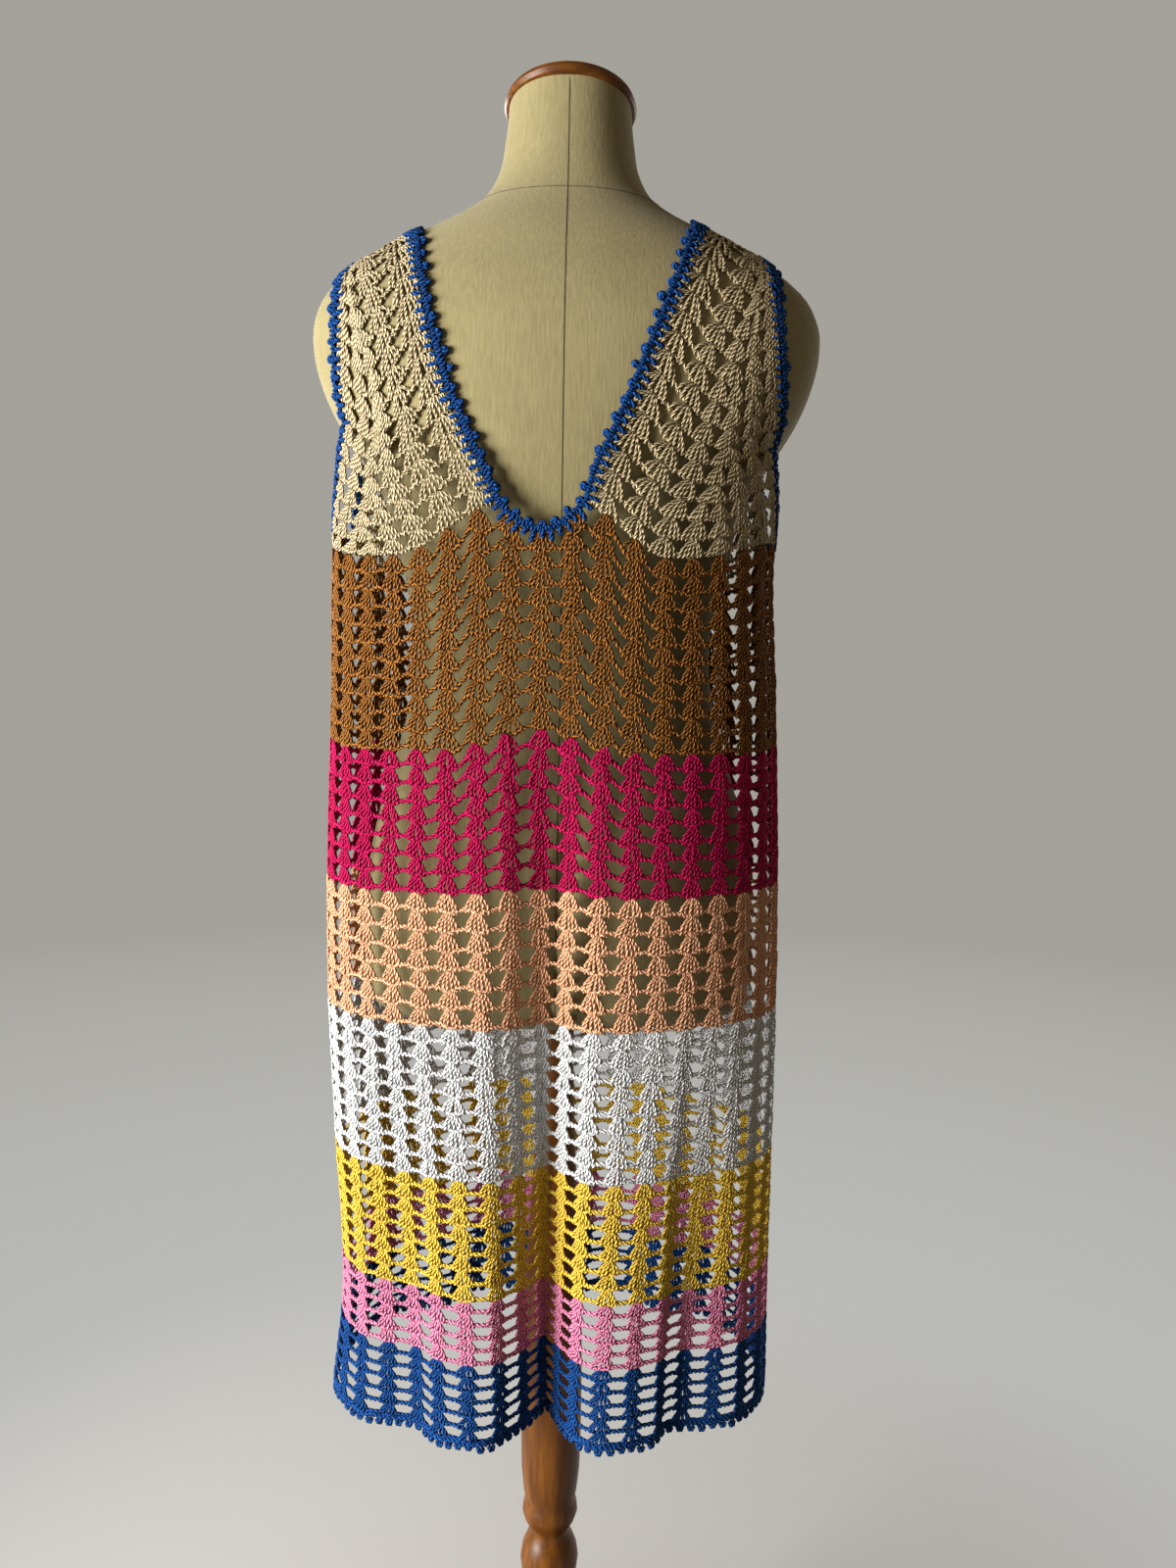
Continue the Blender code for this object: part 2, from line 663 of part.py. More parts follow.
def make_neck_edging(panels, upper_edge, tree, collection):
    notch = np.arange(-V_POINTS + 1, V_POINTS)
    loop = []
    for k in (0, 1):
        loop.append(np.vstack([
            ridge_crossing(panels[True, True][k][:, 0], panels[False, True][k][:, 0]),
            upper_edge[k][RING_POINTS // 2 + notch],
            ridge_crossing(panels[True, False][k][:, 0], panels[False, False][k][:, 0])[::-1],
            upper_edge[k][notch % RING_POINTS],
        ]))
    make_edging("neck_edging", *loop, np.array([0, 0, 1.34]), tree, collection)


def make_armhole_edging(wearer_left, panels, upper_edge, tree, collection):
    low = np.arange(-ARMHOLE_POINTS + 1, ARMHOLE_POINTS)
    underarm = RING_POINTS // 4 + low[::-1] if wearer_left else low - RING_POINTS // 4
    loop = []
    for k in (0, 1):
        edges = (panels[back, wearer_left][k][:, -1] for back in (True, False))
        loop.append(np.vstack([ridge_crossing(*edges), upper_edge[k][underarm % RING_POINTS]]))
    name = f"armhole_edging_{'left' if wearer_left else 'right'}"
    middle = np.array([0.19 if wearer_left else -0.19, 0.0, 1.25])
    make_edging(name, *loop, middle, tree, collection)


def main():
    clear_scene()
    collection = bpy.data.collections.new("Crochet dress on a form")
    bpy.context.scene.collection.children.link(collection)
    tree = make_torso(collection)
    make_stand(collection)
    upper_edge = make_bands(collection)
    make_hem_edging(collection)
    panels = make_yokes(upper_edge, tree, collection)
    make_neck_edging(panels, upper_edge, tree, collection)
    make_armhole_edging(True, panels, upper_edge, tree, collection)
    make_armhole_edging(False, panels, upper_edge, tree, collection)


main()
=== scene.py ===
import math
from collections import namedtuple

import bpy
import numpy as np
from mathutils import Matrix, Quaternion, Vector


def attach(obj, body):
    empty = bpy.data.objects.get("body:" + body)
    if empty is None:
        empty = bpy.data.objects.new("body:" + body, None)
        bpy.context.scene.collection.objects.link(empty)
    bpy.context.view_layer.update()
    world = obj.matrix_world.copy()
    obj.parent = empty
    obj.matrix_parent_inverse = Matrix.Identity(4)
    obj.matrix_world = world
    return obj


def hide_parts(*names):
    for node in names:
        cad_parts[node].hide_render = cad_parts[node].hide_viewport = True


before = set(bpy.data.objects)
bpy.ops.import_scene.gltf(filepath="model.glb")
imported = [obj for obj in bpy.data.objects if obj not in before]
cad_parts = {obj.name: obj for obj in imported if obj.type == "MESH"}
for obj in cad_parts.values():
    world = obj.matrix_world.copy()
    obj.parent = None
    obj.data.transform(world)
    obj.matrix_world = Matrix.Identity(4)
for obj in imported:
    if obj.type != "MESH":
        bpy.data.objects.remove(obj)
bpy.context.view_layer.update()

# Crochet mini dress on a dress form, in metres. The wearer's front faces -Y and the wearer's left
# is +X. Angles are in degrees, seen from above, from the centre back (+Y) towards +X.

# What is set for the whole dress
dress = {
    "columns": 42,  # shells round the skirt
    "underarm": 1.112,  # height where the skirt starts
    "hem": 0.404,
    "backV": 8.0,  # angle of the middle of the back V
    "frontV": 182.0,
    "squareness": 2.2,
    "yarnSeed": 11,
}
quarterRound, halfRound = dress["columns"] / 4, dress["columns"] / 2  # in columns


def rowsOf(kind, rows):
    return [kind(*row) for row in rows]


# Level sections of the hanging cloth: height, half width, depth at the back and front, middle
Section = namedtuple("Section", "height halfWidth back front x y", defaults=(0.0, 0.0))
dressSections = rowsOf(Section, [
    (0.390, 0.1905, 0.103, 0.152, 0.0025, 0.0),
    (0.490, 0.1850, 0.104, 0.151, -0.0020, 0.0),
    (0.620, 0.1880, 0.106, 0.150, 0.0010, 0.0),
    (0.750, 0.1910, 0.108, 0.149, 0.0040, 0.0),
    (0.850, 0.1905, 0.1085, 0.148, 0.0050, 0.0),
    (1.010, 0.1855, 0.104, 0.147, 0.0065, 0.0),
    (1.112, 0.1825, 0.101, 0.146, 0.0085, 0.0),
    (1.170, 0.1830, 0.101, 0.143, 0.0065, 0.0),
    (1.210, 0.1820, 0.098, 0.134, 0.0060, 0.0),
    (1.260, 0.1700, 0.085, 0.096, 0.0050, 0.0),
    (1.320, 0.1200, 0.050, 0.050, 0.0020, 0.0),
    (1.400, 0.0300, 0.020, 0.020),
])
torsoSections = rowsOf(Section, [
    (0.735, 0.148, 0.070, 0.094),
    (0.742, 0.158, 0.078, 0.102),
    (0.765, 0.163, 0.081, 0.108),
    (0.820, 0.165, 0.084, 0.112),
    (0.870, 0.161, 0.085, 0.110),
    (0.920, 0.150, 0.080, 0.104),
    (0.970, 0.135, 0.072, 0.096),
    (1.010, 0.126, 0.068, 0.090),
    (1.050, 0.124, 0.071, 0.089),
    (1.100, 0.133, 0.080, 0.103),
    (1.140, 0.143, 0.088, 0.128),
    (1.170, 0.153, 0.094, 0.138),
    (1.200, 0.172, 0.0975, 0.132),
    (1.233, 0.192, 0.098, 0.117),
    (1.260, 0.203, 0.097, 0.103),
    (1.285, 0.208, 0.095, 0.090),
    (1.310, 0.206, 0.091, 0.079),
    (1.330, 0.194, 0.086, 0.070),
    (1.345, 0.176, 0.081, 0.064, 0.0, -0.001),
    (1.360, 0.151, 0.076, 0.060, 0.0, -0.002),
    (1.375, 0.122, 0.070, 0.058, 0.0, -0.004),
    (1.388, 0.096, 0.064, 0.056, 0.0, -0.006),
    (1.402, 0.075, 0.059, 0.054, 0.0, -0.008),
    (1.425, 0.0595, 0.054, 0.053, 0.0, -0.010),
    (1.455, 0.0530, 0.050, 0.051, 0.0, -0.011),
    (1.510, 0.0490, 0.048, 0.049, 0.0, -0.012),
])

# Folds press the cloth inwards below their start. A depth below 0 is a swell
Fold = namedtuple("Fold", "angle halfAngle depth start power", defaults=(1.0,))
folds = rowsOf(Fold, [
    (4, 24, 0.054, 1.02, 0.9),
    (33, 15, -0.005, 0.80),
    (-27, 15, -0.005, 0.80),
    (56, 13, 0.014, 0.72),
    (-54, 14, 0.018, 0.78),
    (178, 20, 0.040, 1.00),
    (135, 15, 0.018, 0.80),
    (-138, 16, 0.020, 0.84),
])

# How far the upper edge of the brown band climbs, beside the middle of each V
EdgeRise = namedtuple("EdgeRise", "angle rise")
topEdge = rowsOf(EdgeRise, [
    (0, 0.013), (8, 0.017), (20, 0.034), (32, 0.022), (45, 0.002), (60, 0.001), (74, 0.010),
    (84, 0.018), (100, 0.020),
])
# How far the rows below it climb, at the middle of each V and at the sides
rowRise = {"atV": 0.018, "halfAngleAtV": 40, "atSide": 0.006, "halfAngleAtSide": 25}

# Edges of the cream yoke: distance from the middle plane at each height
YokeEdge = namedtuple("YokeEdge", "height leftNeck leftArm rightNeck rightArm")
yokeEdges = rowsOf(YokeEdge, [
    (1.165, 0.058, 0.181, 0.025, 0.170),
    (1.180, 0.065, 0.180, 0.031, 0.170),
    (1.200, 0.075, 0.177, 0.041, 0.169),
    (1.230, 0.088, 0.176, 0.054, 0.167),
    (1.260, 0.098, 0.175, 0.066, 0.164),
    (1.295, 0.107, 0.173, 0.079, 0.160),
    (1.330, 0.114, 0.168, 0.092, 0.152),
    (1.360, 0.119, 0.158, 0.101, 0.144),
    (1.390, 0.123, 0.146, 0.108, 0.132),
])

# The bands of the skirt: height of the upper edge, rows of shells, width of a shell as a share of
# its column
Band = namedtuple("Band", "name top rows spread")
bands = rowsOf(Band, [
    ("brown", 1.112, 11, 0.80),
    ("magenta", 0.962, 8, 0.70),
    ("peach", 0.851, 7, 0.74),
    ("white", 0.745, 9, 0.69),
    ("yellow", 0.622, 8, 0.66),
    ("pink", 0.523, 5, 0.64),
    ("blue", 0.469, 6, 0.62),
])
random = np.random.default_rng(dress["yarnSeed"])


def tableValue(rows, column, at, key="height"):
    # a smooth curve through one column of a table, read at many places
    places = np.array([getattr(row, key) for row in rows], float)
    values = np.array([getattr(row, column) for row in rows], float)
    slopes = np.gradient(values, places)
    at = np.clip(at, places[0], places[-1])
    i = np.clip(np.searchsorted(places, at, side="right") - 1, 0, len(places) - 2)
    span = places[i + 1] - places[i]
    t = (at - places[i]) / span
    ease = t * t * (3 - 2 * t)
    lean = t * (1 - t) * span * ((1 - t) * slopes[i] - t * slopes[i + 1])
    return values[i] * (1 - ease) + values[i + 1] * ease + lean


def unit(vectors):
    return vectors / np.maximum(np.linalg.norm(vectors, axis=-1, keepdims=True), 1e-12)


def angleBetween(a, b):
    return (a - b + 180) % 360 - 180


def bump(offset, halfWidth):
    # a smooth hump, 1 in its middle and 0 from halfWidth outwards
    return np.cos(np.pi / 2 * np.minimum(np.abs(offset) / halfWidth, 1)) ** 2


def eased(value, low, high):
    t = np.clip((value - low) / (high - low), 0, 1)
    return t * t * (3 - 2 * t)


def reach(sections, angle, height):
    # distance from the Z axis to the edge of a section, in the direction of an angle
    across, along = np.sin(np.radians(angle)), np.cos(np.radians(angle))
    halfWidth, back, front, middleX, middleY = (
        tableValue(sections, column, height) for column in ("halfWidth", "back", "front", "x", "y")
    )
    low = np.zeros(np.broadcast(across, height).shape)
    high = low + 0.3
    for _ in range(20):
        middle = (low + high) / 2
        x, y = middle * across - middleX, middle * along - middleY
        depth = np.where(y > 0, back, front)
        power = dress["squareness"]
        level = (np.abs(x) / halfWidth) ** power + (np.abs(y) / depth) ** power
        low, high = np.where(level < 1, middle, low), np.where(level < 1, high, middle)
    return (low + high) / 2


def together(*values):
    return np.stack(np.broadcast_arrays(*values), axis=-1)


def around(angle, height, distance):
    turn = np.radians(angle)
    return together(distance * np.sin(turn), distance * np.cos(turn), height)


def runAlong(paths):
    # how far each point of a path is from its start
    steps = np.linalg.norm(np.diff(paths, axis=-2), axis=-1)
    return np.concatenate([np.zeros((*steps.shape[:-1], 1)), np.cumsum(steps, axis=-1)], axis=-1)


def foldDepth(angle, height):
    depth = 0.0
    for fold in folds:
        grown = np.clip((fold.start - height) / (fold.start - dress["hem"]), 0, None) ** fold.power
        depth = depth + fold.depth * grown * bump(angleBetween(angle, fold.angle), fold.halfAngle)
    return depth


def edgeRise(angle, height):
    # how far a row of stitches climbs above its own height, near each V and at the sides
    offset = np.minimum(*(np.abs(angleBetween(angle, dress[v])) for v in ("backV", "frontV")))
    side = np.minimum(np.abs(angleBetween(angle, 90)), np.abs(angleBetween(angle, -90)))
    top = tableValue(topEdge, "rise", offset, "angle")
    middle = rowRise["atV"] * bump(offset, rowRise["halfAngleAtV"])
    middle = middle + rowRise["atSide"] * bump(side, rowRise["halfAngleAtSide"])
    steps = [bands[3].top, bands[2].top, bands[1].top, bands[0].top]
    shares = [0, 0, 0, 1], [0, 0.3, 1, 0]
    topShare, middleShare = (np.interp(height, steps, share) for share in shares)
    return top * topShare + middle * middleShare


def skirtReach(angle, height):
    return reach(dressSections, angle, height) - foldDepth(angle, height)


def yokeReach(angle, height):
    # the yoke's middle layer: over the torso's skin, or on the line of the hanging cloth
    clearance, wall = 0.0009, 0.0010
    onTorso = reach(torsoSections, angle, height) + clearance + wall
    return np.maximum(onTorso, reach(dressSections, angle, height))


def layOn(reachAt, angle, height, out):
    # points at a distance out from a layer of cloth, and the layer's outward normals
    turnStep, heightStep = 0.4, 0.0015
    places = [(0, 0), (turnStep, 0), (-turnStep, 0), (0, heightStep), (0, -heightStep)]
    middle, right, left, upper, lower = (
        around(angle + turn, height + rise, reachAt(angle + turn, height + rise))
        for turn, rise in places
    )
    normals = unit(np.cross(upper - lower, right - left))
    return middle + normals * np.asarray(out)[..., None], normals


# Yarn. Tubes have faces with four corners and with three, and a pattern place for each corner

Tubes = namedtuple("Tubes", "points quads tris quadPlaces triPlaces")
strandShift = 0.00137  # how far the pattern moves on from each strand to the next


def spinYarn(paths, normals, radii, closed=False, flatness=0.85):
    # tubes of yarn along paths of equal length, flattened a little against the cloth
    sides = 5
    count, length = paths.shape[:2]
    if closed:
        along = unit(np.roll(paths, -1, axis=1) - np.roll(paths, 1, axis=1))
        ringed = slice(0, length)
    else:
        along = unit(np.gradient(paths, axis=1))
        ringed = slice(1, length - 1)
    beside = unit(np.cross(along, normals))
    upward = np.cross(beside, along)
    turn = np.arange(sides) / sides * 2 * math.pi
    radii = np.broadcast_to(radii, (count, length))[:, ringed, None, None]
    rings = paths[:, ringed, None] + radii * (
        np.cos(turn)[:, None] * beside[:, ringed, None]
        + flatness * np.sin(turn)[:, None] * upward[:, ringed, None]
    )
    ringCount = rings.shape[1]
    run = runAlong(paths) + np.arange(count)[:, None] * strandShift
    points = rings.reshape(-1, 3)
    ring = np.arange(count * ringCount * sides).reshape(count, ringCount, sides)
    ringRun = run[:, ringed]
    nextRing, nextRun = np.roll(ring, -1, axis=1), np.roll(ringRun, -1, axis=1)
    if closed:
        nextRun[:, -1] = ringRun[:, -1] + (ringRun[:, -1] - ringRun[:, -2])
    else:
        ring, nextRing = ring[:, :-1], nextRing[:, :-1]
        ringRun, nextRun = ringRun[:, :-1], nextRun[:, :-1]
    beyond = np.roll(ring, -1, axis=2), np.roll(nextRing, -1, axis=2)
    quads = np.stack([ring, nextRing, beyond[1], beyond[0]], axis=-1).reshape(-1, 4)
    share = np.arange(sides) / sides
    halfway, beyondShare = share + 0.5 / sides, share + 1 / sides
    corners = (ringRun, share), (nextRun, share), (nextRun, beyondShare), (ringRun, beyondShare)
    quadPlaces = np.stack([together(a[..., None], b) for a, b in corners], axis=-2).reshape(-1, 2)
    if closed:
        return Tubes(points, quads, np.zeros((0, 3), int), quadPlaces, np.zeros((0, 2)))
    everyRing = np.arange(count * ringCount * sides).reshape(count, ringCount, sides)
    tips = len(points) + np.arange(count * 2).reshape(count, 2)
    points = np.concatenate([points, paths[:, [0, -1]].reshape(-1, 3)])
    first, last = everyRing[:, 0], everyRing[:, -1]
    tris = np.concatenate([
        together(tips[:, :1], first, np.roll(first, -1, axis=1)),
        together(tips[:, 1:], np.roll(last, -1, axis=1), last),
    ]).reshape(-1, 3)
    ends = (0, 1, (halfway, share, beyondShare)), (-1, -2, (halfway, beyondShare, share))
    triPlaces = np.concatenate([
        np.stack([
            together(run[:, at, None], place) for at, place in zip((tip, edge, edge), places)
        ], axis=-2)
        for tip, edge, places in ends
    ]).reshape(-1, 2)
    return Tubes(points, quads, tris, quadPlaces, triPlaces)


def joinTubes(name, tubes):
    # one object from many tubes, its faces with four corners first
    shifts = np.cumsum([0] + [len(tube.points) for tube in tubes[:-1]])
    faces = []
    for kind in ("quads", "tris"):
        for tube, shift in zip(tubes, shifts):
            faces += (getattr(tube, kind) + shift).tolist()
    mesh = bpy.data.meshes.new(name)
    mesh.from_pydata(np.concatenate([tube.points for tube in tubes]).tolist(), [], faces)
    mesh.polygons.foreach_set("use_smooth", np.ones(len(mesh.polygons), bool))
    piece = bpy.data.objects.new(name, mesh)
    bpy.context.collection.objects.link(piece)
    return piece


def finishPiece(piece, name, material, node=None):
    piece.name = piece.data.name = name
    piece.data.materials.clear()
    piece.data.materials.append(material)
    if node:
        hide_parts(node)
    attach(piece, "root")


def yarnPiece(tubes, material, node):
    name = node + "_stitches"
    piece = joinTubes(name, tubes)
    places = [tube.quadPlaces for tube in tubes] + [tube.triPlaces for tube in tubes]
    layer = piece.data.uv_layers.new(name="yarnPlace")
    layer.data.foreach_set("uv", np.concatenate(places).astype(np.float32).ravel())
    finishPiece(piece, name, material, node)
    return piece


# One shell, drawn once: a fan of stitches from a point at its top. Across is a share of its
# column, down a share of its row and out is in metres
shell = {
    "stitchEnds": [-1.0, -0.62, -0.22, 0.22, 0.62, 1.0],  # feet of the six stitches
    "along": [0.0, 0.13, 0.5, 0.87, 1.0],  # where a stitch has its points, from its top to its foot
    "bow": 1.75,  # how quickly the fan widens
    "pointHalf": 0.065,  # half width of its point, as a share of a column
    "overlap": 0.06,  # how far its point lies over the row above
    "footDown": 1.17,  # where the middle stitches end, and how much higher the outer ones do
    "footCurve": 0.04,
    "footHook": 0.20,  # how far the outer feet turn back under the shell
    "pointOut": 0.0014,
    "middleOut": 0.0005,  # how much further out its middle bows
    "footOut": 0.0003,
    "unevenOut": 0.0002,
    "yarnRadius": 0.00136,
}
chain = {
    "pointsPerColumn": 14,
    "yarnRadius": 0.00180,
    "linkSwell": 0.20,  # how much thicker each link is than the pinch between two
    "linkWave": 0.024,  # how far the links lean up and down by turns, in rows
    "shellHalf": 0.33,
    "underShell": 0.03,  # how far below the row's line it runs, behind a shell and beside it
    "besideShell": -0.18,
    "sag": 0.05,
}


def shellPaths(count, width, stitchEnds=None):
    # across, down and out of each stitch, for count shells of slightly different shapes
    ends = np.array(stitchEnds or shell["stitchEnds"])
    t = np.array(shell["along"])
    uneven = random.normal(0, 1, (4, count, len(ends), 1))
    half = width / 2 * (1 + 0.04 * random.normal(0, 1, (count, 1, 1)))
    across = half * (ends[:, None] + 0.04 * uneven[0]) * (1 - (1 - t) ** shell["bow"])
    across = across * (1 - shell["footHook"] * np.abs(ends[:, None]) * eased(t, 0.8, 1))
    across = across + shell["pointHalf"] * ends[:, None] * (1 - t)
    lean = 0.03 * random.normal(0, 1, (count, 1, 1))
    top = -shell["overlap"] + 0.08 * np.abs(ends[:, None])
    foot = shell["footDown"] - shell["footCurve"] * ends[:, None] ** 2 + 0.02 * uneven[1]
    down = top + (foot - top) * t
    out = shell["pointOut"] + (shell["footOut"] - shell["pointOut"]) * t
    out = out + shell["middleOut"] * np.sin(np.pi * t)
    out = out + shell["unevenOut"] * uneven[2] - 0.0004 * np.abs(ends[:, None]) * (1 - t)
    return across + lean * (t - 0.5), down, out


def stitchRadii():
    return shell["yarnRadius"] * (0.82 + 0.32 * np.array(shell["along"]))


def chainDown(phase):
    # how far below the row's line the chain runs, for a phase of -0.5 to 0.5 across a column: along
    # the feet of a shell, then hanging to the next one
    off, half = np.abs(phase), chain["shellHalf"]
    climb = (chain["besideShell"] - chain["underShell"]) * np.minimum(off / half, 1) ** 2
    return chain["underShell"] + climb + chain["sag"] * eased(off, half, 0.5)


def chainLinks(places):
    # 1 and -1 by turns along a chain
    return np.cos(np.pi * np.round(places * chain["pointsPerColumn"]))


def chainWave(places):
    return chain["linkWave"] * chainLinks(places)


def chainRadii(places):
    return chain["yarnRadius"] * (1 + chain["linkSwell"] * chainLinks(places))


# Skirt

rowHeights = np.concatenate([
    np.linspace(band.top, bottom, band.rows + 1)[:-1]
    for band, bottom in zip(bands, [b.top for b in bands[1:]] + [dress["hem"]])
] + [[dress["hem"]]])
rowTotal = len(rowHeights) - 1
wobble = random.normal(0, 1, (2, rowTotal + 4, dress["columns"] * 2))
columnParts = 4  # places in each column where its angle is worked out


def makeColumnAngles():
    # the angle of each column at each height, evenly spaced round the folded cloth
    heights = np.linspace(dress["hem"] - 0.03, dress["underarm"] + 0.05, 60)
    angles = np.linspace(0, 360, 721) + dress["backV"]
    grid = around(angles[None], heights[:, None], skirtReach(angles[None], heights[:, None]))
    run = runAlong(grid)
    columns = np.arange(dress["columns"] * columnParts + 1) / columnParts
    placed = [np.interp(columns / dress["columns"] * row[-1], row, angles) for row in run]
    return heights, np.array(placed), run[:, -1]


columnHeights, columnAngles, girths = makeColumnAngles()


def readGrid(grid, down, across):
    # a grid read between its points
    down = np.clip(down, 0, grid.shape[0] - 1.001)
    across = np.clip(across, 0, grid.shape[1] - 1.001)
    i, j = down.astype(int), across.astype(int)
    s, t = down - i, across - j
    upper = grid[i, j] * (1 - t) + grid[i, j + 1] * t
    lower = grid[i + 1, j] * (1 - t) + grid[i + 1, j + 1] * t
    return upper * (1 - s) + lower * s


def onSkirt(column, row, out):
    # points on the skirt. Column and row may be broken numbers, and row counts on from band to band
    column, row, out = np.broadcast_arrays(column, row, out)
    closedWobble = np.concatenate([wobble, wobble[:, :, :1]], axis=2)
    shift = [readGrid(grid, row + 1, column % dress["columns"] * 2) for grid in closedWobble]
    # beside each V the shells are pulled askew, so the chains between them slope
    fromV = (column + quarterRound) % halfRound - quarterRound
    askew = 0.24 * bump(np.abs(fromV) - 2.2, 3.6) * (1 - eased(row, 10, 24))
    row = row - askew * np.tanh(fromV * 3) * np.sin(2 * np.pi * column)
    column = column + 0.030 * shift[0]
    row = row + 0.040 * shift[1]
    height = np.interp(row, np.arange(rowTotal + 1), rowHeights)
    lastRow = rowHeights[-2] - rowHeights[-1]
    height = height - np.maximum(row - rowTotal, 0) * lastRow + np.maximum(-row, 0) * 0.0136
    level = np.interp(height, columnHeights, np.arange(len(columnHeights)))
    turns = np.floor(column / dress["columns"])
    angle = readGrid(columnAngles, level, (column - turns * dress["columns"]) * columnParts)
    angle = angle + turns * 360
    rise = edgeRise(angle, height)
    return layOn(skirtReach, angle, height + rise, out)


def chainPath(firstColumn, lastColumn, row):
    # a stretch of chain below a row of shells
    places = np.arange(firstColumn, lastColumn, 1 / chain["pointsPerColumn"])
    phase = (places + 0.5) % 1 - 0.5
    return places, row + chainDown(phase) + chainWave(places)


def makeBand(index, material):
    band = bands[index]
    firstRow = sum(b.rows for b in bands[:index])
    tubes = []
    for row in range(firstRow, firstRow + band.rows):
        across, down, out = shellPaths(dress["columns"], band.spread)
        columns = np.arange(dress["columns"])[:, None, None]
        points, normals = onSkirt(columns + across, row + down, out)
        flat = (-1, len(shell["along"]), 3)
        tubes.append(spinYarn(points.reshape(flat), normals.reshape(flat), stitchRadii()))
        places, rows = chainPath(0, dress["columns"], row + 1)
        points, normals = onSkirt(places, rows, 0.0002)
        tubes.append(spinYarn(points[None], normals[None], chainRadii(places), closed=True))
    if index == 0:
        for middle, half in ((0, 1.6), (10.5, 1.15), (21, 1.6), (31.5, 1.15)):
            places, rows = chainPath(middle - half, middle + half, 0)
            points, normals = onSkirt(places, rows, 0.0002)
            tubes.append(spinYarn(points[None], normals[None], chainRadii(places)))
    piece = yarnPiece(tubes, material, "band_" + band.name)


# Yoke: four cream panels, each with a line of wide shells down its middle. Rows turn a corner
# there, and columns run side by side with the neck edge and with the armhole edge

yoke = {
    "rows": 18,
    "neckStart": 1.5,  # columns from the middle of a V to the first shell of a panel
    "armStart": 9.5,
    "neckCurve": 1.175,  # heights where the edges leave the brown band
    "armCurve": 1.165,
    "frontLean": 0.017,  # the front V leans towards the wearer's left
    "frontLeanEnd": 1.345,
    "ridgePitch": 0.0185,  # width of a column at the shoulder and at the brown band
    "footPitch": 0.0245,
    "spread": 0.90,
    "wideSpread": 0.96,
    "firstColumn": 0.44,  # middle of the column next to an edge
    "footThickness": 1.0,  # cream yarn beside the skirt's, at the brown band and the shoulder
    "ridgeThickness": 1.28,
    "flatness": 0.65,
    "chainShare": 0.84,
    "dip": 0.019,  # how far each row hangs lower at the line of wide shells
    "cornerLeft": (0.55, 0.64),  # place of that line between the edges, at the shoulder and below
    "cornerRight": (0.48, 0.58),
    "wideEnds": [-1.0, -0.78, -0.56, -0.34, -0.12, 0.12, 0.34, 0.56, 0.78, 1.0],
}


def angleAtWidth(back, side, height, wanted):
    # the angle where the yoke's surface is a wanted distance from the middle plane
    low, high = np.zeros(np.shape(height)), np.full(np.shape(height), 90.0)
    for _ in range(20):
        turned = (low + high) / 2
        angle = (turned if back else 180 - turned) * side
        short = np.abs(yokeReach(angle, height) * np.sin(np.radians(angle))) < wanted
        low, high = np.where(short, turned, low), np.where(short, high, turned)
    return (low if back else 180 - low) * side


def columnPlace(column):
    # angle and height of a place on the skirt's upper edge
    turns = np.floor(column / dress["columns"])
    height = np.full(np.shape(column), dress["underarm"])
    level = np.interp(height, columnHeights, np.arange(len(columnHeights)))
    angle = readGrid(columnAngles, level, (column - turns * dress["columns"]) * columnParts)
    angle = angleBetween(angle, 0)
    return np.stack([angle, height + edgeRise(angle, height)], axis=-1)


def edgeLine(back, left, edge):
    # angle and height along one edge of a panel, from its foot on the brown band to the shoulder
    side = 1 if left else -1
    columnName = ("left" if left else "right") + edge
    middle = 0.0 if back else dress["columns"] / 2
    start = yoke["neckStart" if edge == "Neck" else "armStart"] * (1 if back == left else -1)
    foot = columnPlace(np.array([middle + start]))[0]
    foot[0] = abs(foot[0]) * side

    def wanted(height):
        x = tableValue(yokeEdges, columnName, height)
        if edge == "Neck" and not back:
            leaning = np.interp(height, [yoke["neckCurve"], yoke["frontLeanEnd"]], [1, 0])
            x = x - side * yoke["frontLean"] * leaning
        return x

    low, high = 1.30, 1.40
    for _ in range(20):
        ridge = (low + high) / 2
        wide = yokeReach(np.array(90.0 * side), np.array(ridge)) > wanted(np.array(ridge))
        low, high = (ridge, high) if wide else (low, ridge)
    heights = np.arange(yoke["neckCurve" if edge == "Neck" else "armCurve"], low - 0.002, 0.01)
    climbing = np.stack([angleAtWidth(back, side, heights, wanted(heights)), heights], axis=-1)
    places = np.vstack([foot, climbing, [90.0 * side, low]])
    for softening in range(4 if edge == "Arm" else 2):
        points, _ = layOn(yokeReach, places[:, 0], places[:, 1], 0.0)
        run = np.concatenate([[0.0], np.cumsum(np.linalg.norm(np.diff(points, axis=0), axis=1))])
        even = np.linspace(0, run[-1], 33)
        places = np.stack([np.interp(even, run, places[:, k]) for k in (0, 1)], axis=1)
        if edge == "Arm" and softening < 3:
            for _ in range(6):
                places[1:-1] = (places[:-2] + places[1:-1] * 2 + places[2:]) / 4
    return places


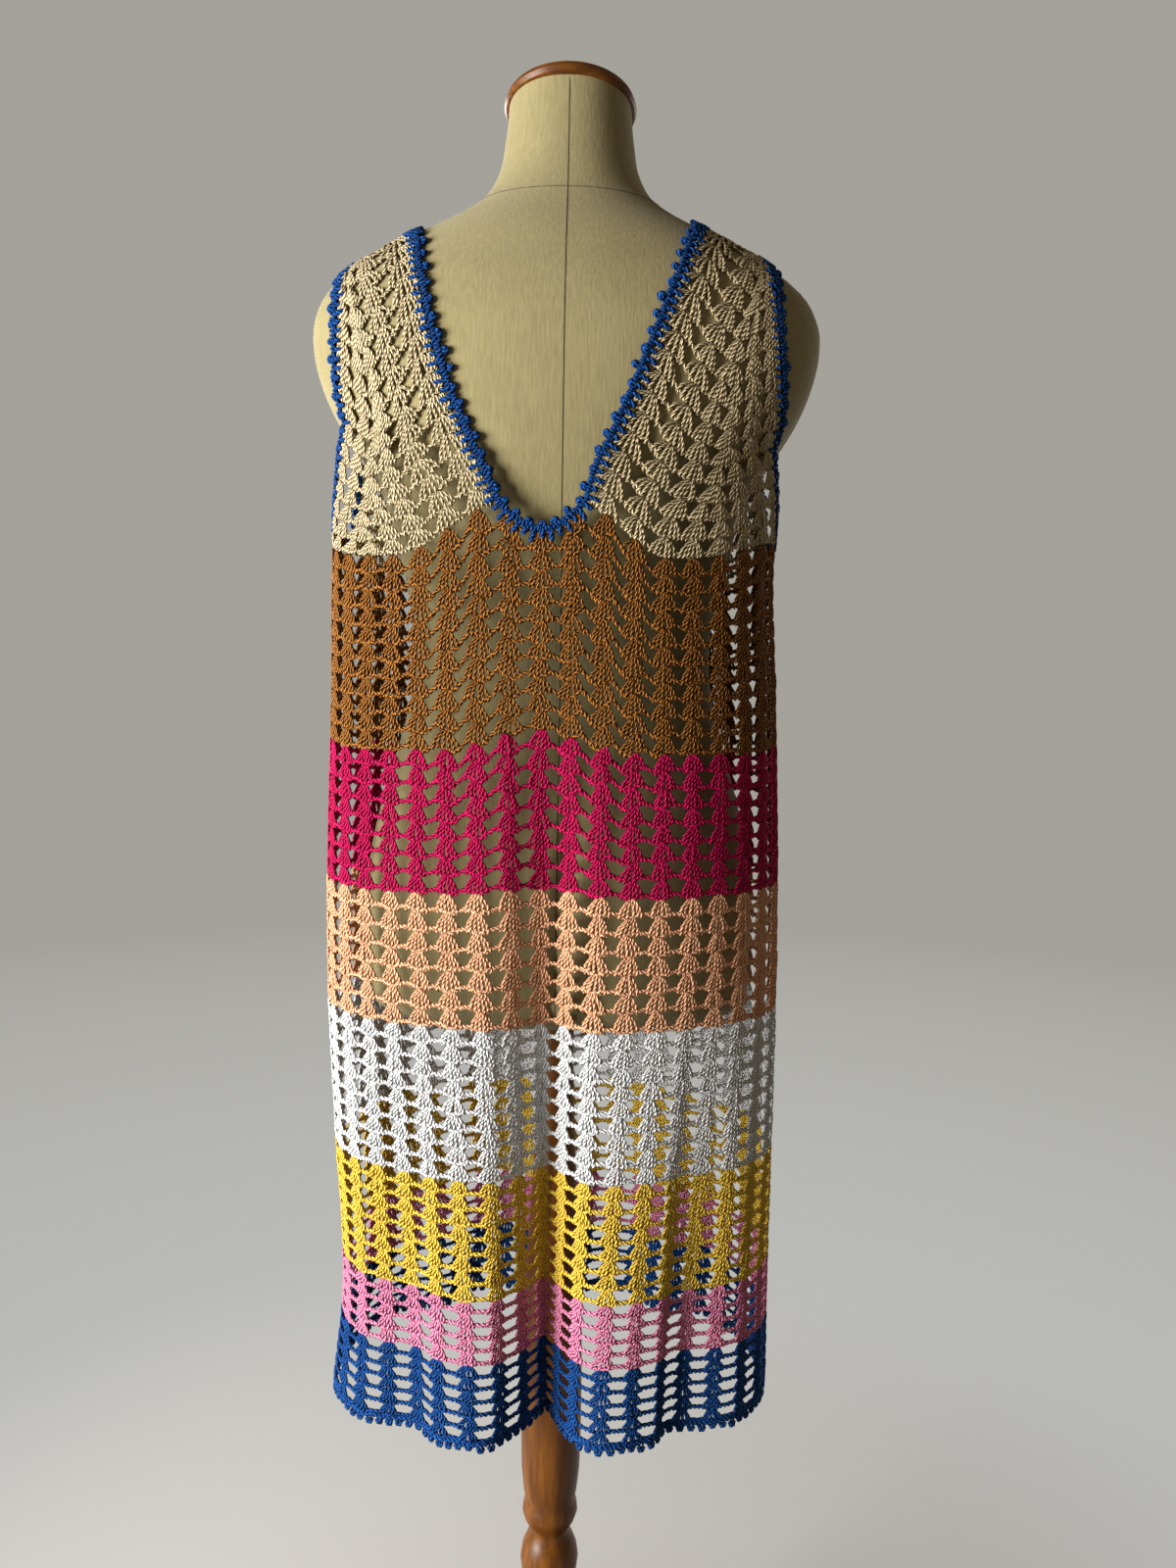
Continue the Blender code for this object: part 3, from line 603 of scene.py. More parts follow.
class Panel:
    def __init__(self, back, left):
        self.back, self.left = back, left
        self.neck, self.arm = edgeLine(back, left, "Neck"), edgeLine(back, left, "Arm")
        middle = 0.0 if back else dress["columns"] / 2
        turn = 1 if back == left else -1
        columns = np.linspace(yoke["neckStart"], yoke["armStart"], 33)
        self.foot = columnPlace(middle + turn * columns)
        self.foot[:, 0] = np.abs(self.foot[:, 0]) * (1 if left else -1)
        self.steps = np.linspace(0, 1, 33)
        self.corner = yoke["cornerLeft" if left else "cornerRight"]
        points, _ = self.lay(*np.meshgrid(self.steps, self.steps, indexing="ij"), 0.0)
        self.widths = np.linalg.norm(np.diff(points, axis=0), axis=2).sum(axis=0)
        self.length = float(np.linalg.norm(np.diff(points[16], axis=0), axis=1).sum())
        self.area = float((self.widths[1:] + self.widths[:-1]).sum() / 2 * self.length / 32)

    def lay(self, share, climb, out):
        # share runs from the neck edge to the armhole edge, climb from the foot to the shoulder
        share, climb, out = np.broadcast_arrays(share, climb, out)
        place = []
        for k in (0, 1):
            neck, arm = (np.interp(climb, self.steps, line[:, k]) for line in (self.neck, self.arm))
            straightFoot = (1 - share) * self.neck[0, k] + share * self.arm[0, k]
            bend = np.interp(share, self.steps, self.foot[:, k]) - straightFoot
            place.append((1 - share) * neck + share * arm + (1 - climb) * bend)
        corner = np.interp(climb, [0, 1], self.corner[::-1])
        wedge = np.minimum(share / corner, (1 - share) / (1 - corner))
        place[1] = place[1] - yoke["dip"] * np.sin(np.pi * np.clip(climb, 0, 1)) * wedge
        return layOn(yokeReach, place[0], place[1], out)

    def width(self, climb):
        return np.interp(climb, self.steps, self.widths)

    def pitch(self, climb):
        return yoke["footPitch"] + (yoke["ridgePitch"] - yoke["footPitch"]) * climb

    def columnsIn(self, row):
        # columns on the neck side and on the armhole side, and the wide shells in the room between
        climb = 1 - (row + 0.5) / yoke["rows"]
        corner = np.interp(climb, [0, 1], self.corner[::-1])
        room = self.width(climb) / self.pitch(climb)
        whole = int(max(room - 0.8, 0))
        onNeckSide = int(round(corner * whole))
        return onNeckSide, whole - onNeckSide, 2 if room - whole > 1.45 else 1


turning = {
    "places": (0.0008, 0.0026),  # distance of the two turning stitches from the edge
    "inset": 0.0022,
    "bow": 0.0030,
    "out": 0.0007,
    "yarnRadius": 0.00125,
}


def makePanel(panel, material):
    tubes = []

    def addTubes(share, row, out, radii):
        climb = 1 - row / yoke["rows"]
        points, normals = panel.lay(share, climb, out)
        thickness = yoke["footThickness"] + (yoke["ridgeThickness"] - yoke["footThickness"]) * climb
        tubes.append(spinYarn(points, normals, radii * thickness, flatness=yoke["flatness"]))

    def addChain(row, neckCount, armCount):
        climb = 1 - row / yoke["rows"]
        pitch, width = float(panel.pitch(climb)), float(panel.width(climb))
        distance = np.arange(0.001, width - 0.001, pitch / chain["pointsPerColumn"])
        first = yoke["firstColumn"]
        fromNeck = (distance / pitch - first + 0.5) % 1 - 0.5
        fromArmhole = ((width - distance) / pitch - first + 0.5) % 1 - 0.5
        down = np.where(distance < neckCount * pitch, chainDown(fromNeck), -0.12)
        down = np.where(width - distance < armCount * pitch, chainDown(fromArmhole), down)
        rows = row + down + chainWave(distance / pitch)
        radii = chainRadii(distance / pitch) * yoke["chainShare"]
        addTubes((distance / width)[None], rows[None], np.full((1, len(distance)), 0.0002), radii)

    addChain(0.1, 0, 0)

    for row in range(yoke["rows"]):
        neckColumns, armColumns, wideShells = panel.columnsIn(row)
        for count, fromArm in ((neckColumns, False), (armColumns, True)):
            if count:
                across, down, out = shellPaths(count, yoke["spread"])
                climb = 1 - (row + down) / yoke["rows"]
                columns = np.arange(count)[:, None, None] + yoke["firstColumn"] + across
                distance = columns * panel.pitch(climb)
                share = np.maximum(distance, 0.0008) / panel.width(climb)
                share = 1 - share if fromArm else share
                flat = (-1, len(shell["along"]))
                addTubes(*(a.reshape(flat) for a in (share, row + down, out)), stitchRadii())
        wideEnds = yoke["wideEnds"] if wideShells == 1 else None
        across, down, out = shellPaths(wideShells, yoke["wideSpread"], wideEnds)
        climb = 1 - (row + down) / yoke["rows"]
        pitch, width = panel.pitch(climb), panel.width(climb)
        neckEnd, armEnd = neckColumns * pitch / width, 1 - armColumns * pitch / width
        places = (np.arange(wideShells)[:, None, None] + 0.5 + across) / wideShells
        share = neckEnd + (armEnd - neckEnd) * places
        flat = (-1, len(shell["along"]))
        addTubes(*(a.reshape(flat) for a in (share, row + down, out)), stitchRadii())
        # the turning stitches that bow out at both ends of the row
        t = np.linspace(0, 1, 6)
        rows = row + 0.08 + 0.94 * t
        for fromArm in (False, True):
            for inward in turning["places"]:
                distance = inward + turning["inset"] - turning["bow"] * np.sin(np.pi * t)
                share = distance / panel.width(1 - rows / yoke["rows"])
                share = 1 - share if fromArm else share
                out = np.full((1, len(t)), turning["out"])
                addTubes(share[None], rows[None], out, turning["yarnRadius"])
        addChain(row + (1 if row < yoke["rows"] - 1 else 0.9), neckColumns, armColumns)
    side = ("back" if panel.back else "front") + "_" + ("left" if panel.left else "right")
    piece = yarnPiece(tubes, material, "yoke_" + side)
    width = float(panel.widths.max())


# Edging: a cord in two rounds of stitches, with picots on its free side and legs into the cream

edging = {
    "picotSpacing": 0.0140,
    "cordPlace": 0.0046,  # distance of the cord from the cream edge
    "cordRadius": 0.0021,
    "picotRadius": 0.0025,
    "stitchesPerPicot": 4,  # stitches worked over the cord
    "stitchRadius": 0.0013,
    "legReach": 0.0066,  # how far a leg reaches over the cream
    "legRadius": 0.0020,
    "width": 0.0175,
    "pointsPerPicot": 8,
    "cordSwell": 0.16,
    "cordWave": 0.0005,
    "hemPicotsPerColumn": 3,
    "hemCordRadius": 0.0021,
    "hemPicotRadius": 0.0022,
    "hemWidth": 0.0105,
}


def evenLoop(points, count):
    # a closed line through points, smoothed and spaced evenly
    for _ in range(3):
        closed = np.vstack([points, points[:1]])
        run = np.concatenate([[0.0], np.cumsum(np.linalg.norm(np.diff(closed, axis=0), axis=1))])
        even = np.arange(count) / count * run[-1]
        points = np.stack([np.interp(even, run, closed[:, k]) for k in range(3)], axis=1)
        for _ in range(4):
            points = (np.roll(points, 1, axis=0) + points * 2 + np.roll(points, -1, axis=0)) / 4
    return points


def onYoke(points, out):
    # points set on the yoke's surface again, at a distance out from its middle layer
    angle = np.degrees(np.arctan2(points[..., 0], points[..., 1]))
    return layOn(yokeReach, angle, points[..., 2], out)


def loopLength(points):
    return float(np.linalg.norm(np.roll(points, -1, axis=0) - points, axis=1).sum())


def makeEdging(name, loop, opening, material):
    picots = int(round(loopLength(loop) / edging["picotSpacing"]))
    each = edging["pointsPerPicot"]
    line = evenLoop(loop, picots * each)
    _, normals = onYoke(line, 0.0)
    along = unit(np.roll(line, -1, axis=0) - np.roll(line, 1, axis=0))
    inward = unit(np.cross(along, normals))
    if ((opening - line) * inward).sum() < 0:
        inward = -inward
    beat = np.arange(len(line)) * 2 * math.pi * 2 / each
    wave = edging["cordPlace"] + edging["cordWave"] * np.sin(beat)
    points, up = onYoke(line + inward * wave[:, None], 0.0004)
    swell = edging["cordRadius"] * (1 + edging["cordSwell"] * np.cos(beat))
    tubes = [spinYarn(points[None], up[None], swell, closed=True)]

    def addStitches(at, besideFrom, overFrom, out, radius):
        # stitches at places along the line. Beside runs along it and over runs off the cream
        turn = 1 + 0.10 * random.normal(0, 1, (2, len(at), 1, 1))
        beside = np.array(besideFrom)[:, None] * turn[0]
        over = np.array(overFrom)[:, None] * turn[1]
        path = line[at, None] + along[at, None] * beside + inward[at, None] * over
        points, up = onYoke(path, out)
        tubes.append(spinYarn(points, up, radius * turn[0][:, :, 0]))

    starts = np.arange(picots) * each
    worked = (np.arange(picots * edging["stitchesPerPicot"]) * each) // edging["stitchesPerPicot"]
    slant = [-0.0016, -0.0012, 0.0, 0.0012, 0.0016]
    slantOver = [0.0012, 0.0022, 0.0046, 0.0068, 0.0076]
    addStitches(worked, slant, slantOver, 0.0019, edging["stitchRadius"])
    ring = [-0.0010, -0.0014, -0.0012, 0.0, 0.0012, 0.0014, 0.0010]
    ringOver = [0.0050, 0.0066, 0.0082, 0.0088, 0.0082, 0.0066, 0.0050]
    addStitches(starts, ring, ringOver, 0.0010, edging["picotRadius"])
    for shift, length in ((each // 2, 1.0), (0, 0.5)):
        reachIn = edging["legReach"] * length
        bend = [0.0004, 0.0, 0.0, 0.0006, 0.0012]
        legs = [0.0040, 0.0020, 0.0, -0.7 * reachIn, -reachIn]
        addStitches((starts + shift) % len(line), bend, legs, 0.0016, edging["legRadius"])
    piece = yarnPiece(tubes, material, name)


def makeHemEdging(material):
    count = dress["columns"] * edging["hemPicotsPerColumn"]
    columns = np.arange(dress["columns"] * 16) / 16
    phase = (columns + 0.5) % 1 - 0.5
    points, normals = onSkirt(columns, rowTotal + 0.20 + 0.5 * chainDown(phase), 0.0002)
    swell = edging["hemCordRadius"] * (1 + 0.2 * np.cos(np.arange(len(columns)) * math.pi))
    tubes = [spinYarn(points[None], normals[None], swell, closed=True)]
    middles = (np.arange(count) / edging["hemPicotsPerColumn"])[:, None]
    across = np.array([-0.045, -0.065, -0.035, 0.035, 0.065, 0.045])
    down = np.array([0.24, 0.46, 0.66, 0.66, 0.46, 0.24])
    uneven = 1 + 0.1 * random.normal(0, 1, (count, 1))
    points, normals = onSkirt(middles + across, rowTotal + down * uneven, 0.0003)
    tubes.append(spinYarn(points, normals, edging["hemPicotRadius"]))
    piece = yarnPiece(tubes, material, "hem_edging")


# Dress form and stand

form = {
    "rows": 120,
    "columns": 112,
    "neckCut": (0.0, -0.012, 1.4805),  # middle of the neck's sloping top
    "neckTilt": math.radians(10),
    "neckSeam": 1.399,
    "partGap": 0.0003,
    "lathSteps": 72,
}
Turning = namedtuple("Turning", "height radius")
poleProfile = rowsOf(Turning, [
    (0.7347, 0.0150), (0.6900, 0.0150), (0.6400, 0.0165), (0.5800, 0.0195),
    (0.5200, 0.0232), (0.4600, 0.0258), (0.4000, 0.0268), (0.3420, 0.0268),
    (0.3100, 0.0260), (0.2890, 0.0237), (0.2820, 0.0221), (0.2770, 0.0240),
    (0.2700, 0.0248), (0.2620, 0.0222), (0.2540, 0.0172), (0.2500, 0.0172),
    (0.2440, 0.0210), (0.2350, 0.0246), (0.2250, 0.0261), (0.2120, 0.0246),
    (0.1920, 0.0205), (0.1600, 0.0170), (0.1200, 0.0165), (0.0850, 0.0190),
    (0.0600, 0.0250), (0.0440, 0.0360), (0.0380, 0.0450), (0.0303, 0.0450),
])
capProfile = rowsOf(Turning, [
    (0.0215, 0.0), (0.0205, 0.0200), (0.0165, 0.0370), (0.0120, 0.0470),
    (0.0100, 0.0500), (0.0085, 0.0530), (0.0045, 0.0545), (0.0010, 0.0530),
    (0.0, 0.0510),
])
baseProfile = rowsOf(Turning, [
    (0.030, 0.0), (0.030, 0.150), (0.0270, 0.172), (0.0220, 0.187),
    (0.0150, 0.196), (0.0060, 0.200), (0.0, 0.198),
])


def torsoReach(angle, height):
    return reach(torsoSections, angle, height)


def editOnly(piece):
    # one object selected on its own and opened for editing, with all of it selected
    bpy.ops.object.select_all(action="DESELECT")
    piece.select_set(True)
    bpy.context.view_layer.objects.active = piece
    bpy.ops.object.mode_set(mode="EDIT")
    bpy.ops.mesh.select_all(action="SELECT")


def makeTorso(material):
    bpy.ops.object.select_all(action="DESELECT")
    bpy.ops.mesh.primitive_grid_add(
        x_subdivisions=form["columns"], y_subdivisions=form["rows"], size=1, location=(0.5, 0.5, 0)
    )
    piece = bpy.context.active_object
    bpy.ops.object.transform_apply(location=True, rotation=True, scale=True)
    flat = np.empty(len(piece.data.vertices) * 3)
    piece.data.vertices.foreach_get("co", flat)
    share, climb = flat.reshape(-1, 3)[:, 0], flat.reshape(-1, 3)[:, 1]
    angle = share * 360
    lowest, neck = torsoSections[0].height, 1.40
    _, cutY, cutHeight = form["neckCut"]
    height = lowest + (cutHeight - lowest) * climb
    y = torsoReach(angle, np.full_like(angle, cutHeight)) * np.cos(np.radians(angle))
    top = cutHeight + math.tan(form["neckTilt"]) * (y - cutY)
    sloped = neck + (height - neck) * (top - neck) / (cutHeight - neck)
    height = np.where(height > neck, sloped, height)
    points = around(angle, height, torsoReach(angle, height))
    piece.data.vertices.foreach_set("co", points.ravel())
    editOnly(piece)
    bpy.ops.mesh.remove_doubles(threshold=0.00002)
    bpy.ops.mesh.select_all(action="DESELECT")
    bpy.ops.mesh.select_non_manifold()
    bpy.ops.mesh.edge_face_add()
    bpy.ops.mesh.select_all(action="SELECT")
    bpy.ops.mesh.normals_make_consistent(inside=False)
    bpy.ops.object.mode_set(mode="OBJECT")
    bpy.ops.object.shade_smooth_by_angle(angle=math.radians(50))
    finishPiece(piece, "form_torso_cover", material, "form_torso")


def makeSeams(material):
    # raised seams of the cover: down the middle of the back and front, the sides and round the neck
    tubes = []
    heights = np.linspace(0.745, 1.470, 180)
    for angle, top in ((0.0, 1.4882), (90.0, 1.30), (180.0, 1.470), (-90.0, 1.30)):
        climb = np.interp(heights, [heights[0], heights[-1]], [heights[0], top])
        points, normals = layOn(torsoReach, np.full_like(climb, angle), climb, 0.0)
        tubes.append(spinYarn(points[None], normals[None], 0.0006, flatness=0.6))
    ring = np.linspace(0, 360, 120, endpoint=False)
    points, normals = layOn(torsoReach, ring, np.full_like(ring, form["neckSeam"]), 0.0)
    tubes.append(spinYarn(points[None], normals[None], 0.0006, closed=True, flatness=0.6))
    finishPiece(joinTubes("form_seams", tubes), "form_seams", material)


def turnPiece(name, profile, material, node, tilt=0.0, place=(0, 0, 0)):
    # a turned piece: its profile, with rounded corners, spun round the Z axis
    corners = [(step.radius, 0.0, step.height) for step in profile]
    if corners[0][0] > 0:
        corners.insert(0, (0.0, 0.0, corners[0][2]))
    corners.append((0.0, 0.0, corners[-1][2]))
    mesh = bpy.data.meshes.new(name)
    mesh.from_pydata(corners, [(i, i + 1) for i in range(len(corners) - 1)], [])
    piece = bpy.data.objects.new(name, mesh)
    bpy.context.collection.objects.link(piece)
    editOnly(piece)
    bpy.ops.mesh.spin(steps=form["lathSteps"], angle=2 * math.pi, center=(0, 0, 0), axis=(0, 0, 1))
    bpy.ops.mesh.select_all(action="SELECT")
    bpy.ops.mesh.remove_doubles(threshold=0.00005)
    bpy.ops.mesh.normals_make_consistent(inside=False)
    bpy.ops.object.mode_set(mode="OBJECT")
    piece.rotation_euler = (tilt, 0, 0)
    piece.location = place
    bpy.ops.object.transform_apply(location=True, rotation=True, scale=True)
    bpy.ops.object.shade_smooth_by_angle(angle=math.radians(38))
    finishPiece(piece, name + "_turned", material, node)


# Materials

# Each yarn: light is its colour on the ply crests with painted highlight, deep is the painted shade
# in the grooves between plies and on the strand sides, then its gloss
Yarn = namedtuple("Yarn", "light deep gloss")
yarns = {
    "cream": Yarn((0.86, 0.73, 0.47), (0.24, 0.155, 0.060), 0.14),
    "brown": Yarn((0.46, 0.175, 0.026), (0.016, 0.005, 0.001), 0.14),
    "magenta": Yarn((0.76, 0.002, 0.125), (0.15, 0.0005, 0.018), 0.12),
    "peach": Yarn((1.0, 0.62, 0.39), (0.64, 0.23, 0.095), 0.14),
    "white": Yarn((0.97, 0.98, 0.99), (0.60, 0.62, 0.65), 0.14),
    "yellow": Yarn((1.0, 0.75, 0.110), (0.64, 0.35, 0.017), 0.14),
    "pink": Yarn((0.95, 0.36, 0.56), (0.54, 0.11, 0.24), 0.14),
    "blue": Yarn((0.008, 0.100, 0.40), (0.001, 0.012, 0.070), 0.10),
}
yarnMaterial = {
    "plies": 3,
    "twist": 0.0042,  # length over which a ply turns once
    "grooveShadeShare": 0.80,  # how much of the colour's change comes from the grooves between plies: painted shade in them and painted highlight on the crests
    "paintedSideShade": 0.62,  # how much painted shade darkens the sides of each strand, where two strands meet
    "bumpDepth": 0.0014,
}


def newMaterial(name):
    material = bpy.data.materials.new(name)
    material.use_nodes = True
    nodes, links = material.node_tree.nodes, material.node_tree.links
    return material, nodes, links, nodes["Principled BSDF"]


def addMath(nodes, links, operation, first, second=None):
    node = nodes.new("ShaderNodeMath")
    node.operation = operation
    for socket, value in zip(node.inputs, (first, second)):
        if value is None:
            continue
        if isinstance(value, (int, float)):
            socket.default_value = value
        else:
            links.new(value, socket)
    return node.outputs[0]


def addNoise(nodes, links, vector, scale, detail=2.0):
    node = nodes.new("ShaderNodeTexNoise")
    node.inputs["Scale"].default_value = scale
    node.inputs["Detail"].default_value = detail
    links.new(vector, node.inputs["Vector"])
    return node.outputs["Fac"]


def addRamp(nodes, links, factor, stops):
    node = nodes.new("ShaderNodeValToRGB")
    while len(node.color_ramp.elements) < len(stops):
        node.color_ramp.elements.new(0.5)
    for element, (place, colour) in zip(node.color_ramp.elements, stops):
        element.position = place
        element.color = (*colour, 1.0)
    links.new(factor, node.inputs[0])
    return node.outputs[0]


def addBump(nodes, links, shader, height, distance, strength=1.0):
    node = nodes.new("ShaderNodeBump")
    node.inputs["Strength"].default_value = strength
    node.inputs["Distance"].default_value = distance
    links.new(height, node.inputs["Height"])
    links.new(node.outputs[0], shader.inputs["Normal"])


def makeYarn(name):
    # twisted plies along each strand, with loose fibres and an uneven dye, painted highlight on the
    # ply crests and painted shade in the grooves between them and on the sides of each strand
    yarn = yarns[name]
    groove = yarnMaterial["grooveShadeShare"]
    material, nodes, links, shader = newMaterial(name + "_yarn_stitches")
    places = nodes.new("ShaderNodeUVMap")
    places.uv_map = "yarnPlace"
    split = nodes.new("ShaderNodeSeparateXYZ")
    links.new(places.outputs[0], split.inputs[0])
    objectPlace = nodes.new("ShaderNodeTexCoord").outputs["Object"]
    patch = addNoise(nodes, links, objectPlace, 90.0, 2.0)
    fibre = addNoise(nodes, links, objectPlace, 1500.0, 3.0)
    along = addMath(nodes, links, "MULTIPLY", split.outputs[0], 2 * math.pi / yarnMaterial["twist"])
    about = addMath(nodes, links, "MULTIPLY", split.outputs[1], 2 * math.pi * yarnMaterial["plies"])
    turns = addMath(nodes, links, "ADD", along, about)
    turns = addMath(nodes, links, "ADD", turns, addMath(nodes, links, "MULTIPLY", patch, 9.0))
    ply = addMath(nodes, links, "ADD", addMath(nodes, links, "SINE", turns), 1.0)
    ridge = addMath(nodes, links, "POWER", addMath(nodes, links, "MULTIPLY", ply, 0.5), 0.7)
    loose = addMath(nodes, links, "ADD", patch, fibre)
    loose = addMath(nodes, links, "MULTIPLY", loose, (1 - groove) / 2)
    toneAndShade = addMath(nodes, links, "ADD", addMath(nodes, links, "MULTIPLY", ridge, groove), loose)
    # painted shade on the sides of each strand, where it meets the next
    side = addMath(nodes, links, "MULTIPLY", split.outputs[1], 2 * math.pi)
    side = addMath(nodes, links, "ABSOLUTE", addMath(nodes, links, "SINE", side))
    outer = addMath(nodes, links, "POWER", side, 0.8)
    shade = addMath(nodes, links, "MULTIPLY", outer, yarnMaterial["paintedSideShade"])
    shade = addMath(nodes, links, "ADD", shade, 1.12 - yarnMaterial["paintedSideShade"])
    toneAndShade = addMath(nodes, links, "MULTIPLY", toneAndShade, shade)
    # from the painted shade of grooves and strand sides to the crest colour with painted highlight,
    # with uneven tone between
    colour = addRamp(nodes, links, toneAndShade, [(0.28, yarn.deep), (0.86, yarn.light)])
    links.new(colour, shader.inputs["Base Color"])
    shader.inputs["Roughness"].default_value = 0.75 - 0.4 * yarn.gloss
    shader.inputs["Specular IOR Level"].default_value = yarn.gloss
    shader.inputs["Sheen Weight"].default_value = 0.02
    shader.inputs["Sheen Roughness"].default_value = 0.5
    height = addMath(nodes, links, "ADD", ridge, addMath(nodes, links, "MULTIPLY", fibre, 0.35))
    addBump(nodes, links, shader, height, yarnMaterial["bumpDepth"])
    return material


def makeFormFabric(name, deep, light):
    material, nodes, links, shader = newMaterial(name)
    objectPlace = nodes.new("ShaderNodeTexCoord").outputs["Object"]
    stretch = nodes.new("ShaderNodeMapping")
    stretch.inputs["Scale"].default_value = (1.0, 1.0, 0.12)
    links.new(objectPlace, stretch.inputs["Vector"])
    streaks = addNoise(nodes, links, stretch.outputs[0], 520.0, 3.0)
    patch = addNoise(nodes, links, objectPlace, 9.0, 3.0)
    weave = nodes.new("ShaderNodeTexWave")
    weave.wave_type = "BANDS"
    weave.bands_direction = "Z"
    weave.inputs["Scale"].default_value = 420.0
    weave.inputs["Distortion"].default_value = 2.0
    weave.inputs["Detail"].default_value = 2.0
    links.new(objectPlace, weave.inputs["Vector"])
    mixed = addMath(nodes, links, "MULTIPLY_ADD", streaks, 0.5)
    links.new(addMath(nodes, links, "MULTIPLY", patch, 0.5), mixed.node.inputs[2])
    colour = addRamp(nodes, links, mixed, [(0.32, deep), (0.66, light)])
    links.new(colour, shader.inputs["Base Color"])
    shader.inputs["Roughness"].default_value = 0.88
    shader.inputs["Sheen Weight"].default_value = 0.10
    height = addMath(nodes, links, "MULTIPLY_ADD", streaks, 0.8)
    links.new(addMath(nodes, links, "MULTIPLY", weave.outputs["Fac"], 0.4), height.node.inputs[2])
    addBump(nodes, links, shader, height, 0.0004, 0.8)
    return material


def makeWood(name, grainScale):
    material, nodes, links, shader = newMaterial(name)
    objectPlace = nodes.new("ShaderNodeTexCoord").outputs["Object"]
    stretch = nodes.new("ShaderNodeMapping")
    stretch.inputs["Scale"].default_value = grainScale
    links.new(objectPlace, stretch.inputs["Vector"])
    grain = addNoise(nodes, links, stretch.outputs[0], 170.0, 6.0)
    pores = addNoise(nodes, links, stretch.outputs[0], 900.0, 2.0)
    mixed = addMath(nodes, links, "MULTIPLY_ADD", pores, 0.25)
    links.new(addMath(nodes, links, "MULTIPLY", grain, 0.75), mixed.node.inputs[2])
    stops = [
        (0.30, (0.055, 0.015, 0.0015)),
        (0.52, (0.130, 0.042, 0.0035)),
        (0.72, (0.215, 0.078, 0.007)),
    ]
    colour = addRamp(nodes, links, mixed, stops)
    links.new(colour, shader.inputs["Base Color"])
    shader.inputs["Roughness"].default_value = 0.40
    shader.inputs["Specular IOR Level"].default_value = 0.28
    shader.inputs["Coat Weight"].default_value = 0.06
    shader.inputs["Coat Roughness"].default_value = 0.22
    addBump(nodes, links, shader, grain, 0.0002, 0.4)
    return material


# Room: a pale floor that fades into the background, soft lights and the camera

room = {
    "background": (0.37, 0.36, 0.325),
    "fill": (0.155, 0.128, 0.092),  # light from all sides
    "floorFar": (0.50, 0.50, 0.485),
    "floorNear": (0.46, 0.455, 0.44),
    "floorRadius": 12.0,
    "cameraPlace": (-0.0236, 0.967, 1.014),
    "cameraTilt": 5.0,
    "cameraRoll": 0.96,
    "cameraLens": 26.0,
}


def makeRoom():
    bpy.ops.object.select_all(action="DESELECT")
    bpy.ops.mesh.primitive_circle_add(vertices=96, radius=room["floorRadius"], fill_type="NGON")
    floor = bpy.context.active_object
    floor.name = "pale_floor"
    material, nodes, links, shader = newMaterial("pale_floor")
    shader.inputs["Base Color"].default_value = (*room["floorNear"], 1)
    shader.inputs["Roughness"].default_value = 0.9
    # the floor lies in the lights near the stand, then turns into the colour of the background
    far = nodes.new("ShaderNodeEmission")
    distance = nodes.new("ShaderNodeVectorMath")
    distance.operation = "LENGTH"
    links.new(nodes.new("ShaderNodeTexCoord").outputs["Object"], distance.inputs[0])
    stops = [(0.0, room["floorFar"]), (0.07, room["floorFar"]), (0.32, room["background"])]
    outward = addMath(nodes, links, "DIVIDE", distance.outputs["Value"], room["floorRadius"])
    links.new(addRamp(nodes, links, outward, stops), far.inputs["Color"])
    fade = nodes.new("ShaderNodeMapRange")
    fade.interpolation_type = "SMOOTHSTEP"
    fade.inputs["From Min"].default_value = 0.25
    fade.inputs["From Max"].default_value = 1.1
    links.new(distance.outputs["Value"], fade.inputs["Value"])
    mix = nodes.new("ShaderNodeMixShader")
    links.new(fade.outputs[0], mix.inputs[0])
    links.new(shader.outputs[0], mix.inputs[1])
    links.new(far.outputs[0], mix.inputs[2])
    links.new(mix.outputs[0], nodes["Material Output"].inputs["Surface"])
    floor.data.materials.append(material)
    floor.visible_diffuse = False
    # the background looks pale, but only a little light comes from it
    world = bpy.data.worlds.new("studio")
    bpy.context.scene.world = world
    world.use_nodes = True
    nodes, links = world.node_tree.nodes, world.node_tree.links
    seen, fill = nodes["Background"], nodes.new("ShaderNodeBackground")
    seen.inputs["Color"].default_value = (*room["background"], 1)
    fill.inputs["Color"].default_value = (*room["fill"], 1)
    mix = nodes.new("ShaderNodeMixShader")
    links.new(nodes.new("ShaderNodeLightPath").outputs["Is Camera Ray"], mix.inputs[0])
    links.new(fill.outputs[0], mix.inputs[1])
    links.new(seen.outputs[0], mix.inputs[2])
    links.new(mix.outputs[0], nodes["World Output"].inputs["Surface"])


def addLight(name, place, target, size, power, colour=(1, 1, 1)):
    data = bpy.data.lights.new(name, "AREA")
    data.shape = "DISK"
    data.size, data.energy, data.color = size, power, colour
    light = bpy.data.objects.new(name, data)
    bpy.context.collection.objects.link(light)
    light.location = place
    light.rotation_euler = (Vector(target) - Vector(place)).to_track_quat("-Z", "Y").to_euler()


def makeCamera():
    data = bpy.data.cameras.new("camera")
    data.lens, data.sensor_width, data.sensor_fit = room["cameraLens"], 36.0, "AUTO"
    data.clip_start = 0.05
    camera = bpy.data.objects.new("camera", data)
    bpy.context.collection.objects.link(camera)
    camera.location = room["cameraPlace"]
    tilt = math.radians(room["cameraTilt"])
    looking = Vector((0, -math.cos(tilt), -math.sin(tilt)))
    camera.rotation_mode = "QUATERNION"
    roll = Quaternion((0, 0, 1), math.radians(room["cameraRoll"]))
    camera.rotation_quaternion = looking.to_track_quat("-Z", "Y") @ roll
    bpy.context.scene.camera = camera


# Build

